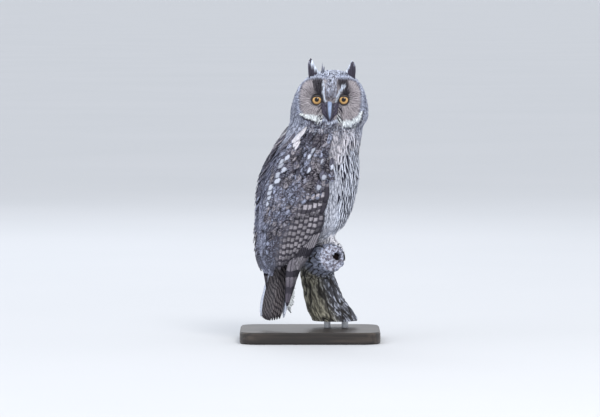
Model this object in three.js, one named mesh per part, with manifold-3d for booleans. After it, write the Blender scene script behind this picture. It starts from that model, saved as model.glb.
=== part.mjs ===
// Long-eared owl on a cut length of branch, held by a plain display stand.
// Millimetres, +Z up, floor at Z = 0, the origin under the middle of the base.
// The face looks along -Y. The body faces +X, turned a little towards +Y.

import * as THREE from 'three';
import { mergeVertices } from 'three/addons/utils/BufferGeometryUtils.js';
import Module from 'manifold-3d';

const wasm = await Module();
wasm.setup();

const V = (x, y, z) => new THREE.Vector3(x, y, z);
const { lerp, smoothstep, degToRad, radToDeg } = THREE.MathUtils;

// Driving dimensions

const GAP = 0.3;
const SEED = 7;

const BASE_LENGTH = 190;
const BASE_WIDTH = 156;
const BASE_THICK = 16;
const BASE_CORNER = 22;
const BASE_BEVEL = 2;
const ROD_RADIUS = 4.5;
const ROD_SPACING = 24;

const PERCH_FOOT_Z = 26;
const PERCH_RADIUS_FOOT = 29;
const PERCH_RADIUS_ELBOW = 23;
const PERCH_RADIUS_END = 19;

const CROWN_Z = 368;
const FACE_Z = 300;
const HEAD_FOOT_Z = 288;
const HEAD_X = 26.5;
const HEAD_HALF_WIDTH = 53;
const HEAD_FRONT = 40;
const HEAD_BACK = 46;
const HEAD_LEAN = 0.05;
const HEAD_BLEND_Z = 306;
const CROWN_POWER = 2.4;
const FACE_POWER = 2.7;
const NAPE_POWER = 2.1;
const NECK_FOOT_Z = 272;
const TORSO_FOOT_Z = 104;

const EYE_RADIUS = 8.5;
const EYE_HALF_SPAN = 18.2;
const EYE_Z = 328;
const EYE_SINK = 6.1;
const LID_RADIUS = 7.5;
const LID_THICK = 1.5;
const DISC_RADIUS = 27;
const DISC_DEPTH = 5.5;
const DISC_TALL = 1.12;
const DISC_RIM = 3;
const BROW_RIDGE = 5;
const BROW_RIDGE_HALF = 6.5;

const WING_DEPTH = 5.6;
const WING_BED = 6.9;
const VANE_THICK = 0.85;
const VANE_TIP_THICK = 0.55;

const WING_FRONT = 89;
const WING_BACK = 169;
const WING_CORE_FOOT_Z = 150;
const WING_CORE_THIN = 1.2;
const WING_CORE_THICK = 4;
const TIP_SCATTER = 2;
const CAMBER = 0.08;

const TAIL_LENGTH = 112;
const TAIL_ROOT = V(-33, -9, 138);
const TAIL_TIP = V(-51.5, -18, 28.5);
const TAIL_TURN = degToRad(53);
const TAIL_HALF_WIDTH = 20.5;
const TAIL_RISE = 4.5;
const TAIL_PAIRS = 6;
const TAIL_VANE_WIDTH = 9.5;
const TAIL_VANE_THICK = 0.7;
const TAIL_VANE_TILT = 0.26;

const LEG_TOP_RADIUS = 20;
const LEG_FOOT_RADIUS = 12;
const HEEL_RADIUS = 8;
const TOE_RADIUS = 3.7;
const CLAW_RADIUS = 2.1;
const CLAW_TIP_RADIUS = 0.35;
const CLAW_LENGTH = 13;
const SOLE_RISE = 3;
const FEET_HEADING = 20;

// A small seeded generator for the feathers' natural variation

let seedState = SEED;
function random() {
  seedState = (seedState * 1664525 + 1013904223) % 4294967296;
  return seedState / 4294967296;
}
const vary = (amount) => 1 + amount * (2 * random() - 1);

// Closed meshes and solids

function closeMesh(geometry) {
  geometry.deleteAttribute('normal');
  geometry.deleteAttribute('uv');
  const merged = mergeVertices(geometry, 1e-4);
  const index = merged.index.array;
  const kept = [];
  for (let i = 0; i < index.length; i += 3) {
    const [a, b, c] = [index[i], index[i + 1], index[i + 2]];
    if (a !== b && b !== c && c !== a) kept.push(a, b, c);
  }
  if (signedVolume(merged.attributes.position, kept) < 0) kept.reverse();
  merged.setIndex(kept);
  return merged;
}

function signedVolume(position, index) {
  const corners = [V(), V(), V()];
  let sum = 0;
  for (let i = 0; i < index.length; i += 3) {
    corners.forEach((corner, k) => corner.fromBufferAttribute(position, index[i + k]));
    sum += corners[0].dot(corners[1].cross(corners[2]));
  }
  return sum / 6;
}

function solidOf(geometry) {
  const closed = closeMesh(geometry);
  return new wasm.Manifold(new wasm.Mesh({
    numProp: 3,
    vertProperties: new Float32Array(closed.attributes.position.array),
    triVerts: new Uint32Array(closed.index.array),
  }));
}

// Fusing can seal a small hollow or leave a scrap: only the largest surface stays
function largestPiece(solid) {
  const pieces = solid.decompose();
  pieces.sort((a, b) => b.volume() - a.volume());
  return pieces[0];
}

function geometryOf(solid) {
  const mesh = largestPiece(solid).getMesh();
  const geometry = new THREE.BufferGeometry();
  geometry.setAttribute('position', new THREE.BufferAttribute(mesh.vertProperties, 3));
  geometry.setIndex(new THREE.BufferAttribute(mesh.triVerts, 1));
  return geometry;
}

function fuse(solids) {
  return solids.reduce((whole, piece) => whole.add(piece));
}

// A capped cylinder whose every point is placed by place(along, angle, radius)
function loft(rings, sectors, place) {
  const geometry = new THREE.CylinderGeometry(1, 1, 1, sectors, rings);
  const position = geometry.attributes.position;
  for (let i = 0; i < position.count; i += 1) {
    const [x, y, z] = [position.getX(i), position.getY(i), position.getZ(i)];
    const point = place(y + 0.5, Math.atan2(z, x), Math.hypot(x, z));
    position.setXYZ(i, point.x, point.y, point.z);
  }
  return geometry;
}

// A round bar along a curve; size(along) gives the two half sizes of its section
function bar(curve, rings, sectors, size) {
  const frames = curve.computeFrenetFrames(rings);
  return loft(rings, sectors, (along, angle, radius) => {
    const k = Math.round(along * rings);
    const [wide, high] = size(along, angle);
    return curve.getPointAt(along)
      .addScaledVector(frames.normals[k], radius * wide * Math.cos(angle))
      .addScaledVector(frames.binormals[k], radius * high * Math.sin(angle));
  });
}

// The body's outline

// Height, middle, half depth, half width and turn of the body with its wings
const BODY_SECTIONS = [
  [36, -49, 13, 24, 54],
  [70, -43.5, 16, 25.5, 51],
  [99, -40, 26, 33, 42],
  [116, -34, 38, 42, 35],
  [137, -24, 50, 49, 29],
  [164, -10.5, 63, 57, 25],
  [218, 0, 68, 62, 25],
  [259, 9.5, 59, 55, 25],
  [280, 18.6, 54.5, 50, 25],
  [306, 24, 51, 47, 25],
];
const BODY_SIDESTEP = 0.4;
const BODY_TURN = 25;

function bodySection(z) {
  const rows = BODY_SECTIONS;
  let i = 0;
  while (i < rows.length - 2 && z > rows[i + 1][0]) i += 1;
  const before = rows[Math.max(i - 1, 0)];
  const [low, high] = [rows[i], rows[i + 1]];
  const after = rows[Math.min(i + 2, rows.length - 1)];
  const span = high[0] - low[0];
  const t = (z - low[0]) / span;
  return [1, 2, 3, 4].map((k) => {
    const slopeLow = (high[k] - before[k]) / (high[0] - before[0]) * span;
    const slopeHigh = (after[k] - low[k]) / (after[0] - low[0]) * span;
    return (2 * t ** 3 - 3 * t ** 2 + 1) * low[k] + (t ** 3 - 2 * t ** 2 + t) * slopeLow
      + (3 * t ** 2 - 2 * t ** 3) * high[k] + (t ** 3 - t ** 2) * slopeHigh;
  });
}

// A point of the body: 0 degrees is the breast, 90 its right side, 180 the back
function onBody(z, degrees, lift = 0, radius = 1) {
  const [x, depth, width, turn] = bodySection(z);
  const yaw = degToRad(turn);
  const angle = degToRad(degrees);
  const ahead = radius * Math.max(depth + lift, 1) * Math.cos(angle);
  const aside = radius * Math.max(width + lift, 1) * Math.sin(angle);
  return V(
    x + ahead * Math.cos(yaw) + aside * Math.sin(yaw),
    BODY_SIDESTEP * x + ahead * Math.sin(yaw) - aside * Math.cos(yaw),
    z,
  );
}

// Torso and neck

const BED_FRONT = 83;
const BED_BACK = 171;
const BELLY_Z = 154;
const BELLY_DRAW = 0.9;
const RUMP_Z = 150;
const RUMP_DRAW = 0.3;
const TORSO_RINGS = 15;
const NECK_RINGS = 2;
const TRUNK_SECTORS = 32;

// The bed that the folded wing lies in, and the belly that draws in to the tail
function bodyLift(z, degrees) {
  const side = Math.abs(degrees);
  const across = smoothstep(side, BED_FRONT - 9, BED_FRONT)
    * (1 - smoothstep(side, BED_BACK, BED_BACK + 6));
  const belly = Math.max(Math.cos(degToRad(degrees)), 0) * Math.max(BELLY_Z - z, 0) * BELLY_DRAW;
  const taper = Math.max(RUMP_Z - z, 0) * RUMP_DRAW + belly;
  const low = smoothstep(RUMP_Z - z, 0, 12);
  return -WING_BED * Math.max(across, low) - taper;
}

function trunkForm(foot, top, rings, grow, bedded = true) {
  return solidOf(loft(rings, TRUNK_SECTORS, (along, angle, radius) => {
    const z = lerp(foot - grow, top + grow, along);
    const degrees = radToDeg(angle);
    return onBody(z, degrees, (bedded ? bodyLift(z, degrees) : 0) + grow, radius);
  }));
}

// Head

const BILL_MIDDLE_Z = 313;
const HEAD_RINGS = 17;
const HEAD_SECTORS = 40;

function headSize(z) {
  const height = Math.max((z - FACE_Z) / (CROWN_Z - FACE_Z), 0);
  return Math.max(1 - height ** CROWN_POWER, 0) ** (1 / CROWN_POWER);
}

const headMiddle = (z) => HEAD_X + (z - BILL_MIDDLE_Z) * HEAD_LEAN;
const EYES = [-1, 1].map((side) => V(headMiddle(EYE_Z) + side * EYE_HALF_SPAN, 0, EYE_Z));

// The face: two shallow dishes with a raised rim, and the ridge between them
function faceRelief(x, z) {
  const across = (Math.abs(x - headMiddle(z)) - EYE_HALF_SPAN) / DISC_RADIUS;
  const up = (z - EYE_Z + 4) / (DISC_RADIUS * DISC_TALL);
  const away = Math.hypot(across * (across < 0 ? 1.35 : 1), up);
  const dish = DISC_DEPTH * Math.max(1 - away ** 2, 0) ** 1.5;
  const rim = DISC_RIM * Math.exp(-(((away - 1.02) / 0.13) ** 2)) * (across > -0.4 ? 1 : 0.3);
  const ridge = BROW_RIDGE * Math.exp(-(((x - headMiddle(z)) / BROW_RIDGE_HALF) ** 2))
    * smoothstep(z, 300, 322) * (1 - smoothstep(z, 345, 362));
  return dish - rim - ridge;
}

function headForm(grow) {
  return solidOf(loft(HEAD_RINGS, HEAD_SECTORS, (along, angle, radius) => {
    const rise = Math.sin(along * Math.PI / 2) ** 0.94;
    const z = lerp(HEAD_FOOT_Z + GAP - grow, CROWN_Z + grow, rise);
    const scale = headSize(z);
    const [cx, cy] = [Math.cos(angle), Math.sin(angle)];
    const power = cy < 0 ? FACE_POWER : NAPE_POWER;
    const depth = cy < 0 ? HEAD_FRONT : HEAD_BACK;
    const reach = (Math.abs(cx / HEAD_HALF_WIDTH) ** power
      + Math.abs(cy / depth) ** power) ** (-1 / power) * scale + grow;
    const head = V(headMiddle(z) + radius * reach * cx, radius * reach * cy, z);
    if (cy < 0) head.y += radius * faceRelief(head.x, z) * smoothstep(-cy, 0.35, 0.8) * scale;
    const neck = onBody(z, BODY_TURN - radToDeg(angle), grow, radius);
    return head.lerp(neck, 1 - smoothstep(z, HEAD_FOOT_Z, HEAD_BLEND_Z));
  }));
}

// How far forward the face reaches at a place
function faceY(x, z) {
  const scale = headSize(z);
  const across = Math.abs(x - headMiddle(z)) / (HEAD_HALF_WIDTH * scale);
  const front = -HEAD_FRONT * scale * (1 - across ** FACE_POWER) ** (1 / FACE_POWER);
  return front + faceRelief(x, z) * scale;
}

EYES.forEach((eye) => eye.setY(faceY(eye.x, eye.z) + EYE_SINK));

function eyeForm(eye, grow) {
  const geometry = new THREE.SphereGeometry(EYE_RADIUS + grow, 12, 10);
  geometry.rotateX(Math.PI / 2);
  geometry.translate(eye.x, eye.y, eye.z);
  return solidOf(geometry);
}

function lidForm(eye) {
  const geometry = new THREE.TorusGeometry(LID_RADIUS, LID_THICK, 5, 16);
  geometry.rotateX(Math.PI / 2);
  geometry.scale(1, 1, 0.97);
  geometry.translate(eye.x, eye.y - EYE_SINK + 0.6, eye.z);
  return solidOf(geometry);
}

// Bill: a hooked upper half over a shorter lower half, the mouth line between

const BILL_X = headMiddle(BILL_MIDDLE_Z);
const BILL_RINGS = 7;

function billHalf(points, widths, heights, grow) {
  const curve = new THREE.CatmullRomCurve3(points.map(([y, z], k) => (
    V(BILL_X, y + (k === 0 ? grow : 0), z))));
  return solidOf(loft(BILL_RINGS, 10, (along, angle, radius) => {
    const tangent = curve.getTangentAt(along);
    const up = V(0, tangent.z, -tangent.y);
    const place = along * (widths.length - 1);
    const k = Math.min(Math.floor(place), widths.length - 2);
    const wide = lerp(widths[k], widths[k + 1], place - k) + grow;
    const high = lerp(heights[k], heights[k + 1], place - k) + grow;
    return curve.getPointAt(along)
      .addScaledVector(V(1, 0, 0), radius * wide * Math.cos(angle))
      .addScaledVector(up, radius * high * Math.sin(angle));
  }));
}

function upperBill(grow) {
  const points = [[-30, 322.5], [-39.5, 320], [-45.5, 313], [-46.6, 305.8], [-45, 300.5]];
  return billHalf(points, [5, 5, 4.2, 2.6, 0.5], [5, 5.4, 4.4, 2.7, 0.5], grow);
}

function lowerBill(grow) {
  const points = [[-30, 309.5], [-37.5, 308], [-41.5, 305.8], [-43.6, 303.6]];
  return billHalf(points, [4.2, 4.2, 3, 0.8], [3.2, 3.4, 2.6, 0.8], grow);
}

function nostril(side) {
  const geometry = new THREE.SphereGeometry(1.1, 6, 4);
  geometry.scale(0.9, 1.3, 1.1);
  geometry.translate(BILL_X + side * 4.4, -42.2, 318.6);
  return solidOf(geometry);
}

// Feathers

// A closed vane: a thin, cambered, tapering blade along a line of stations.
// Each station gives its middle, the way across, the way up and its half width.
function bladeForm(stations, thickRoot, thickTip) {
  const positions = [];
  const last = stations.length - 1;
  stations.forEach(({ middle, across, up, half }, k) => {
    const thick = lerp(thickRoot, thickTip, k / last) / 2;
    const camber = half * CAMBER;
    [[-1, 1], [0, 1], [1, 1], [1, -1], [0, -1], [-1, -1]].forEach(([u, w]) => {
      const point = middle.clone()
        .addScaledVector(across, u * half)
        .addScaledVector(up, w * thick + (1 - u * u) * camber);
      positions.push(point.x, point.y, point.z);
    });
  });
  const index = [];
  for (let k = 0; k < last; k += 1) {
    const [a, b] = [k * 6, k * 6 + 6];
    const quad = (p, q, r, s) => index.push(p, q, r, p, r, s);
    quad(a, b, b + 1, a + 1);
    quad(a + 1, b + 1, b + 2, a + 2);
    quad(a + 2, b + 2, b + 3, a + 3);
    index.push(a + 3, b + 3, a + 4, b + 3, b + 4, a + 4);
    index.push(a + 4, b + 4, a + 5, b + 4, b + 5, a + 5);
    quad(a + 5, b + 5, b, a);
  }
  [[0, 1], [last * 6, -1]].forEach(([a, way]) => {
    const fan = [[a, a + 1, a + 4], [a, a + 4, a + 5], [a + 1, a + 2, a + 3], [a + 1, a + 3, a + 4]];
    fan.forEach((face) => index.push(...(way > 0 ? face : face.reverse())));
  });
  const geometry = new THREE.BufferGeometry();
  geometry.setAttribute('position', new THREE.Float32BufferAttribute(positions, 3));
  geometry.setIndex(index);
  return solidOf(geometry);
}

// Narrow at the root, full past the middle, rounded at the tip
const FULL_AT = 0.65;
const ROOT_SHARE = 0.45;
function vaneShape(t) {
  if (t < FULL_AT) return lerp(ROOT_SHARE, 1, Math.sin((t / FULL_AT) * Math.PI / 2));
  return Math.sqrt(1 - ((t - FULL_AT) / (1.03 - FULL_AT)) ** 2);
}

// A vane that lies on a sheet: place(t, lift) gives its line, sunk at the root
function vane(place, { width, lift, tilt, count = 5, thick = VANE_THICK }) {
  const stations = [];
  for (let k = 0; k < count; k += 1) {
    const t = k / (count - 1);
    const height = lerp(lift[0], lift[1], Math.sqrt(t));
    const middle = place(t, height);
    const out = place(t, height + 1).sub(middle).normalize();
    const step = 0.04;
    const along = place(Math.min(t + step, 1), height).sub(place(Math.max(t - step, 0), height));
    along.normalize();
    const across = out.clone().cross(along).normalize();
    const up = along.clone().cross(across).normalize();
    across.addScaledVector(up, tilt).normalize();
    up.crossVectors(along, across).normalize();
    stations.push({ middle, across, up, half: width / 2 * vaneShape(t) });
  }
  return bladeForm(stations, thick, VANE_TIP_THICK);
}

// Wings

// Tiers of the folded wing: primaries, secondaries, greater, median and lesser
// coverts, then the scapulars of the shoulder. Each is a run of roots and tips, as
// height and degrees round the body, from the wing's front edge to its back edge.
// Sweep bends the line of tips, and stack lays each feather over the one before.
const WING_TIERS = [
  { count: 5, stations: 5, width: 10.5, tilt: 0.14, sweep: 1,
    root: [[190, 94], [176, 112]], tip: [[86, 68], [44, 112]], lift: [-5, -1.6], stack: 0.75 },
  { count: 7, stations: 5, width: 16, tilt: 0.13, sweep: 2.6,
    root: [[200, 96], [206, 160]], tip: [[138, 90], [96, 168]], lift: [-4.2, 0], stack: 0 },
  { count: 6, stations: 4, width: 16, tilt: 0.12, sweep: 1,
    root: [[220, 96], [222, 156]], tip: [[175, 90], [158, 154]], lift: [-4, 1.1], stack: 0 },
  { count: 5, stations: 4, width: 16.5, tilt: 0.12, sweep: 1,
    root: [[244, 97], [240, 152]], tip: [[206, 90], [194, 148]], lift: [-4, 1.9], stack: 0 },
  { count: 4, stations: 4, width: 18, tilt: 0.12, sweep: 1,
    root: [[264, 103], [260, 148]], tip: [[232, 93], [220, 144]], lift: [-3.8, 2.5], stack: 0 },
  { count: 5, stations: 4, width: 17, tilt: 0.12, sweep: 1,
    root: [[264, 152], [214, 162]], tip: [[236, 148], [166, 163]], lift: [-4, 2.6], stack: 0.25 },
];

// The arm and hand under the coverts: a thin pad, thinnest below, that all roots sink into
function wingCore(side) {
  const [top, foot] = [NECK_FOOT_Z, WING_CORE_FOOT_Z];
  return solidOf(loft(9, 14, (along, angle, radius) => {
    const z = lerp(foot, top, along);
    const front = WING_FRONT + 9 * smoothstep(z, 220, top);
    const back = WING_BACK - 5 * smoothstep(z, 235, top);
    const ends = lerp(0.8, 1, smoothstep(along, 0, 0.15)) * lerp(1, 0.85, smoothstep(along, 0.8, 1));
    const [u, w] = [Math.cos(angle), Math.sin(angle)];
    const across = Math.sign(u) * Math.abs(u) ** 0.8 * radius * ends;
    const outer = lerp(WING_CORE_THIN, WING_CORE_THICK, smoothstep(z, foot, 192));
    const lift = -WING_DEPTH + outer * (0.5 + 0.5 * Math.sign(w) * Math.abs(w) ** 0.8 * radius);
    return onBody(z, side * ((front + back) / 2 + across * (back - front) / 2), lift);
  }));
}

function tierVanes(tier, side) {
  const vanes = [];
  for (let k = 0; k < tier.count; k += 1) {
    const t = k / (tier.count - 1);
    const root = [0, 1].map((n) => lerp(tier.root[0][n], tier.root[1][n], t));
    const fall = 1 - (1 - t) ** tier.sweep;
    const tip = [lerp(tier.tip[0][0], tier.tip[1][0], fall), lerp(tier.tip[0][1], tier.tip[1][1], t)];
    tip[0] += TIP_SCATTER * (2 * random() - 1);
    const place = (s, lift) => onBody(
      lerp(root[0], tip[0], s),
      side * lerp(root[1], tip[1], s),
      lift + tier.stack * k * lerp(0.3, 1, s),
    );
    vanes.push(vane(place, {
      width: tier.width * vary(0.04),
      lift: tier.lift,
      tilt: side * tier.tilt,
      count: tier.stations,
    }));
  }
  return vanes;
}

function wingForm(side) {
  return fuse([wingCore(side), ...WING_TIERS.flatMap((tier) => tierVanes(tier, side))]);
}

// Tail

const TAIL_ALONG = TAIL_TIP.clone().sub(TAIL_ROOT).normalize();
const TAIL_ACROSS = V(Math.sin(TAIL_TURN), -Math.cos(TAIL_TURN), 0);
const TAIL_UP = TAIL_ACROSS.clone().cross(TAIL_ALONG).normalize();
if (TAIL_UP.x > 0) TAIL_UP.negate();

function onTail(along, across, lift) {
  const half = lerp(13, TAIL_HALF_WIDTH, smoothstep(along, 0, 0.8));
  return TAIL_ROOT.clone()
    .addScaledVector(TAIL_ALONG, along * TAIL_LENGTH)
    .addScaledVector(TAIL_ACROSS, across * half)
    .addScaledVector(TAIL_UP, TAIL_RISE * (1 - across * across) + lift);
}

function tailCore(grow) {
  const geometry = new THREE.SphereGeometry(1, 12, 8);
  const position = geometry.attributes.position;
  for (let i = 0; i < position.count; i += 1) {
    const along = 0.12 + position.getY(i) * (0.2 + grow / TAIL_LENGTH);
    const across = position.getX(i) * (0.85 + grow / 14);
    const point = onTail(along, across, -1 + position.getZ(i) * (5 + grow));
    position.setXYZ(i, point.x, point.y, point.z);
  }
  return solidOf(geometry);
}

// The slot in the torso's lower end that the tail's root and feathers lie in
function tailRoom() {
  const slot = solidOf(loft(8, 16, (along, angle, radius) => (
    onTail(lerp(0, 0.6, along), radius * Math.cos(angle) * 1.35, radius * Math.sin(angle) * 3.6))));
  return tailCore(GAP).add(slot);
}

function tailForm() {
  const pieces = [tailCore(0)];
  for (let pair = 0; pair < TAIL_PAIRS; pair += 1) {
    const outward = pair / (TAIL_PAIRS - 1);
    [-1, 1].forEach((side) => {
      const across = side * lerp(0.07, 0.84, outward);
      const reach = 1 - 0.045 * outward ** 2;
      const place = (s, lift) => onTail(lerp(0.1, reach, s), across * lerp(0.7, 1, s), lift);
      const top = side * 1.1 * (1 - outward) - outward;
      pieces.push(vane(place, {
        width: TAIL_VANE_WIDTH,
        lift: [top - 0.8, top + 1],
        tilt: side * TAIL_VANE_TILT,
        thick: TAIL_VANE_THICK,
      }));
    });
  }
  return fuse(pieces);
}

// Ear tufts

const TUFT_VANES = 4;
const TUFT_VANE_WIDTH = 6.5;
const TUFTS = [
  { side: -1, root: V(6, -9, 356), tip: V(0.5, -12, 384.5) },
  { side: 1, root: V(50, -9, 355), tip: V(57.5, -12, 380.5) },
];

function tuftForm({ side, root, tip }) {
  const along = tip.clone().sub(root);
  const across = V(1, 0, 0).addScaledVector(along, -along.x / along.lengthSq()).normalize();
  const out = V(0, -1, 0);
  const pieces = [];
  const core = new THREE.SphereGeometry(1, 8, 6);
  core.scale(6, 4.5, 9);
  core.translate(root.x, root.y, root.z + 2);
  pieces.push(solidOf(core));
  for (let k = 0; k < TUFT_VANES; k += 1) {
    const t = k / (TUFT_VANES - 1) - 0.5;
    const reach = 1 - 0.5 * Math.abs(t + side * 0.25);
    const place = (s, lift) => root.clone()
      .addScaledVector(along, lerp(0, reach, s))
      .addScaledVector(across, t * lerp(7, 3, s))
      .addScaledVector(out, lift + 1.6 * (0.5 - Math.abs(t)));
    pieces.push(vane(place, { width: TUFT_VANE_WIDTH, lift: [0, 1 + k * 0.4], tilt: 0.2 }));
  }
  return fuse(pieces);
}

// Perch

const PERCH_LINE = new THREE.CatmullRomCurve3([
  V(43, 14, 8), V(34, 14, 26), V(22.5, 15, 45), V(15, 18, 68), V(10.5, 19, 90),
  V(12, 7, 106), V(20.5, -20, 113), V(30, -46, 115),
]);

const PERCH_RINGS = 22;
const PERCH_HOLE = V(37, -44, 116.5);
const PERCH_HOLE_RADIUS = 4.4;
const PERCH_HOLE_DEPTH = 24;

function perchForm(grow) {
  const form = solidOf(bar(PERCH_LINE, PERCH_RINGS, 16, (along, angle) => {
    const trunk = lerp(PERCH_RADIUS_FOOT, PERCH_RADIUS_ELBOW, smoothstep(along, 0, 0.62));
    const size = lerp(trunk, PERCH_RADIUS_END, smoothstep(along, 0.62, 0.9)) + grow;
    const bark = 1 + 0.035 * Math.sin(4 * angle + 6 * along)
      + 0.02 * Math.sin(9 * angle - 8 * along);
    return [size * bark, size * bark];
  }));
  return form.subtract(blockFrom(PERCH_FOOT_Z - grow, -1));
}

function perchHole() {
  const bottom = PERCH_HOLE_RADIUS * 0.7;
  const geometry = new THREE.CylinderGeometry(PERCH_HOLE_RADIUS, bottom, PERCH_HOLE_DEPTH, 10);
  geometry.rotateX(-Math.PI / 2);
  geometry.translate(...PERCH_HOLE);
  return solidOf(geometry);
}

// Legs, feet and claws

const STANCE = [
  { name: 'right', hip: V(26, -16, 172), ankle: V(18, -12, 135) },
  { name: 'left', hip: V(12, 17, 172), ankle: V(10.5, 13, 134) },
];

function legForm({ hip, ankle }) {
  const curve = new THREE.LineCurve3(ankle.clone().setZ(ankle.z + SOLE_RISE), hip);
  return solidOf(bar(curve, 5, 16, (along) => {
    const size = lerp(LEG_FOOT_RADIUS, LEG_TOP_RADIUS, Math.sin(along * Math.PI / 2));
    return [size, size];
  }));
}

// Two toes forward, one out to the side and one back, curled round the branch
const TOES = [
  { turn: -18, reach: 1.02 },
  { turn: 8, reach: 1 },
  { turn: 34, reach: 1.14 },
  { turn: 182, reach: 1 },
];

function toeLine(ankle, turn, reach, side) {
  const heading = degToRad(FEET_HEADING - side * turn);
  const ahead = V(Math.cos(heading), Math.sin(heading), 0);
  const point = (out, z) => V(ankle.x, ankle.y, z).addScaledVector(ahead, out * reach);
  return new THREE.CatmullRomCurve3([
    point(0, ankle.z + 1),
    point(10, ankle.z + 0.5),
    point(19, ankle.z - 5.5),
    point(24, ankle.z - 14),
  ]);
}

function toeForm(line) {
  return solidOf(bar(line, 5, 6, (along) => {
    const size = TOE_RADIUS * lerp(1.1, 0.8, along) * (1 + 0.1 * Math.sin(along * 14));
    return [size, size];
  }));
}

function footForm({ ankle }, side) {
  const heel = new THREE.SphereGeometry(HEEL_RADIUS, 12, 8);
  heel.scale(1, 1, 0.8);
  heel.translate(ankle.x, ankle.y, ankle.z - 1);
  const toes = TOES.map(({ turn, reach }) => toeForm(toeLine(ankle, turn, reach, side)));
  return fuse([solidOf(heel), ...toes]).subtract(blockFrom(ankle.z + SOLE_RISE - GAP, 1));
}

function clawForm(line) {
  const start = line.getPointAt(1);
  const along = line.getTangentAt(1);
  const inward = V(0, 0, -1).addScaledVector(along, along.z).normalize();
  const at = (reach, curl) => start.clone()
    .addScaledVector(along, reach + GAP)
    .addScaledVector(inward, curl);
  const curve = new THREE.CatmullRomCurve3([
    at(0, 0), at(CLAW_LENGTH * 0.4, 0.6), at(CLAW_LENGTH * 0.75, 2), at(CLAW_LENGTH, 4),
  ]);
  return solidOf(bar(curve, 4, 6, (t) => {
    const size = lerp(CLAW_RADIUS, CLAW_TIP_RADIUS, t ** 0.9);
    return [size, size];
  }));
}

// Stand

function baseForm() {
  const shape = new THREE.Shape();
  const [x, y, r] = [BASE_LENGTH / 2 - BASE_BEVEL, BASE_WIDTH / 2 - BASE_BEVEL, BASE_CORNER];
  shape.absarc(x - r, -y + r, r, -Math.PI / 2, 0, false);
  shape.absarc(x - r, y - r, r, 0, Math.PI / 2, false);
  shape.absarc(-x + r, y - r, r, Math.PI / 2, Math.PI, false);
  shape.absarc(-x + r, -y + r, r, Math.PI, Math.PI * 1.5, false);
  const geometry = new THREE.ExtrudeGeometry(shape, {
    depth: BASE_THICK - 2 * BASE_BEVEL,
    bevelThickness: BASE_BEVEL,
    bevelSize: BASE_BEVEL,
    bevelSegments: 1,
    curveSegments: 5,
  });
  geometry.translate(0, 0, BASE_BEVEL);
  return solidOf(geometry);
}

function rodForm(side) {
  const [low, high] = [BASE_THICK + GAP, PERCH_FOOT_Z - GAP];
  const foot = PERCH_LINE.getPointAt(0.1);
  const geometry = new THREE.CylinderGeometry(ROD_RADIUS, ROD_RADIUS, high - low, 20);
  geometry.rotateX(Math.PI / 2);
  geometry.translate(foot.x + side * ROD_SPACING / 2, foot.y, (low + high) / 2);
  return solidOf(geometry);
}

// A block that takes away all above or all below a height
function blockFrom(z, way) {
  const size = 600;
  const geometry = new THREE.BoxGeometry(size, size, size);
  geometry.translate(0, 0, z + way * size / 2);
  return solidOf(geometry);
}

// Finishes

const finish = (color, roughness, metalness = 0) => ({ color, roughness, metalness });
const BROWN_PLUMAGE = finish(0x6b5f55, 0.95);
const PALE_PLUMAGE = finish(0xb3aaa0, 0.95);
const FACE_PLUMAGE = finish(0x9c9188, 0.95);
const DARK_PLUMAGE = finish(0x3b342f, 0.95);
const IRIS = finish(0xe08a1e, 0.15);
const HORN = finish(0x3c4248, 0.4);
const CLAW = finish(0x1d1c1d, 0.35);
const BARK = finish(0x8b857e, 0.9);
const BASE_WOOD = finish(0x2e2a27, 0.5);
const STEEL = finish(0x9a9c9e, 0.35, 1);

// Assembly

const owl = new THREE.Group();

function add(name, solid, { color, roughness, metalness }) {
  const material = new THREE.MeshStandardMaterial({ color, roughness, metalness });
  const mesh = new THREE.Mesh(geometryOf(solid), material);
  mesh.name = name;
  owl.add(mesh);
}

const torso = trunkForm(TORSO_FOOT_Z, NECK_FOOT_Z, TORSO_RINGS, 0).subtract(tailRoom());
const torsoRoom = trunkForm(TORSO_FOOT_Z, NECK_FOOT_Z, TORSO_RINGS, GAP);
const perchRoom = perchForm(GAP);
const headRoom = headForm(GAP);

let head = headForm(0);
EYES.forEach((eye) => { head = head.add(lidForm(eye)); });
EYES.forEach((eye) => { head = head.subtract(eyeForm(eye, GAP)); });
head = head.subtract(upperBill(GAP)).subtract(lowerBill(GAP));
add('head', head, FACE_PLUMAGE);

const upper = upperBill(0).subtract(nostril(-1)).subtract(nostril(1));
add('bill_upper', upper.subtract(lowerBill(GAP)), HORN);
add('bill_lower', lowerBill(0), HORN);
['right', 'left'].forEach((name, k) => {
  add(`eye_${name}`, eyeForm(EYES[k], 0), IRIS);
  add(`ear_tuft_${name}`, tuftForm(TUFTS[k]).subtract(headRoom), DARK_PLUMAGE);
});

add('neck', trunkForm(NECK_FOOT_Z + GAP, HEAD_FOOT_Z, NECK_RINGS, 0, false), PALE_PLUMAGE);
add('torso', torso, PALE_PLUMAGE);
add('wing_right', wingForm(1), BROWN_PLUMAGE);
add('wing_left', wingForm(-1), BROWN_PLUMAGE);
add('tail', tailForm(), BROWN_PLUMAGE);

STANCE.forEach((stance, k) => {
  const side = k === 0 ? 1 : -1;
  const sole = stance.ankle.z + SOLE_RISE;
  const leg = legForm(stance).subtract(torsoRoom).subtract(blockFrom(sole, -1));
  add(`leg_${stance.name}`, leg, PALE_PLUMAGE);
  const foot = footForm(stance, side).subtract(perchRoom);
  add(`foot_${stance.name}`, foot, PALE_PLUMAGE);
  TOES.forEach(({ turn, reach }, n) => {
    const line = toeLine(stance.ankle, turn, reach, side);
    add(`claw_${stance.name}_${n + 1}`, clawForm(line).subtract(perchRoom), CLAW);
  });
});

add('perch', perchForm(0).subtract(perchHole()), BARK);
add('stand_base', baseForm(), BASE_WOOD);
[-1, 1].forEach((side, k) => add(`stand_rod_${k + 1}`, rodForm(side), STEEL));

export default owl;
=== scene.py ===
from functools import partial
import math

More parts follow.
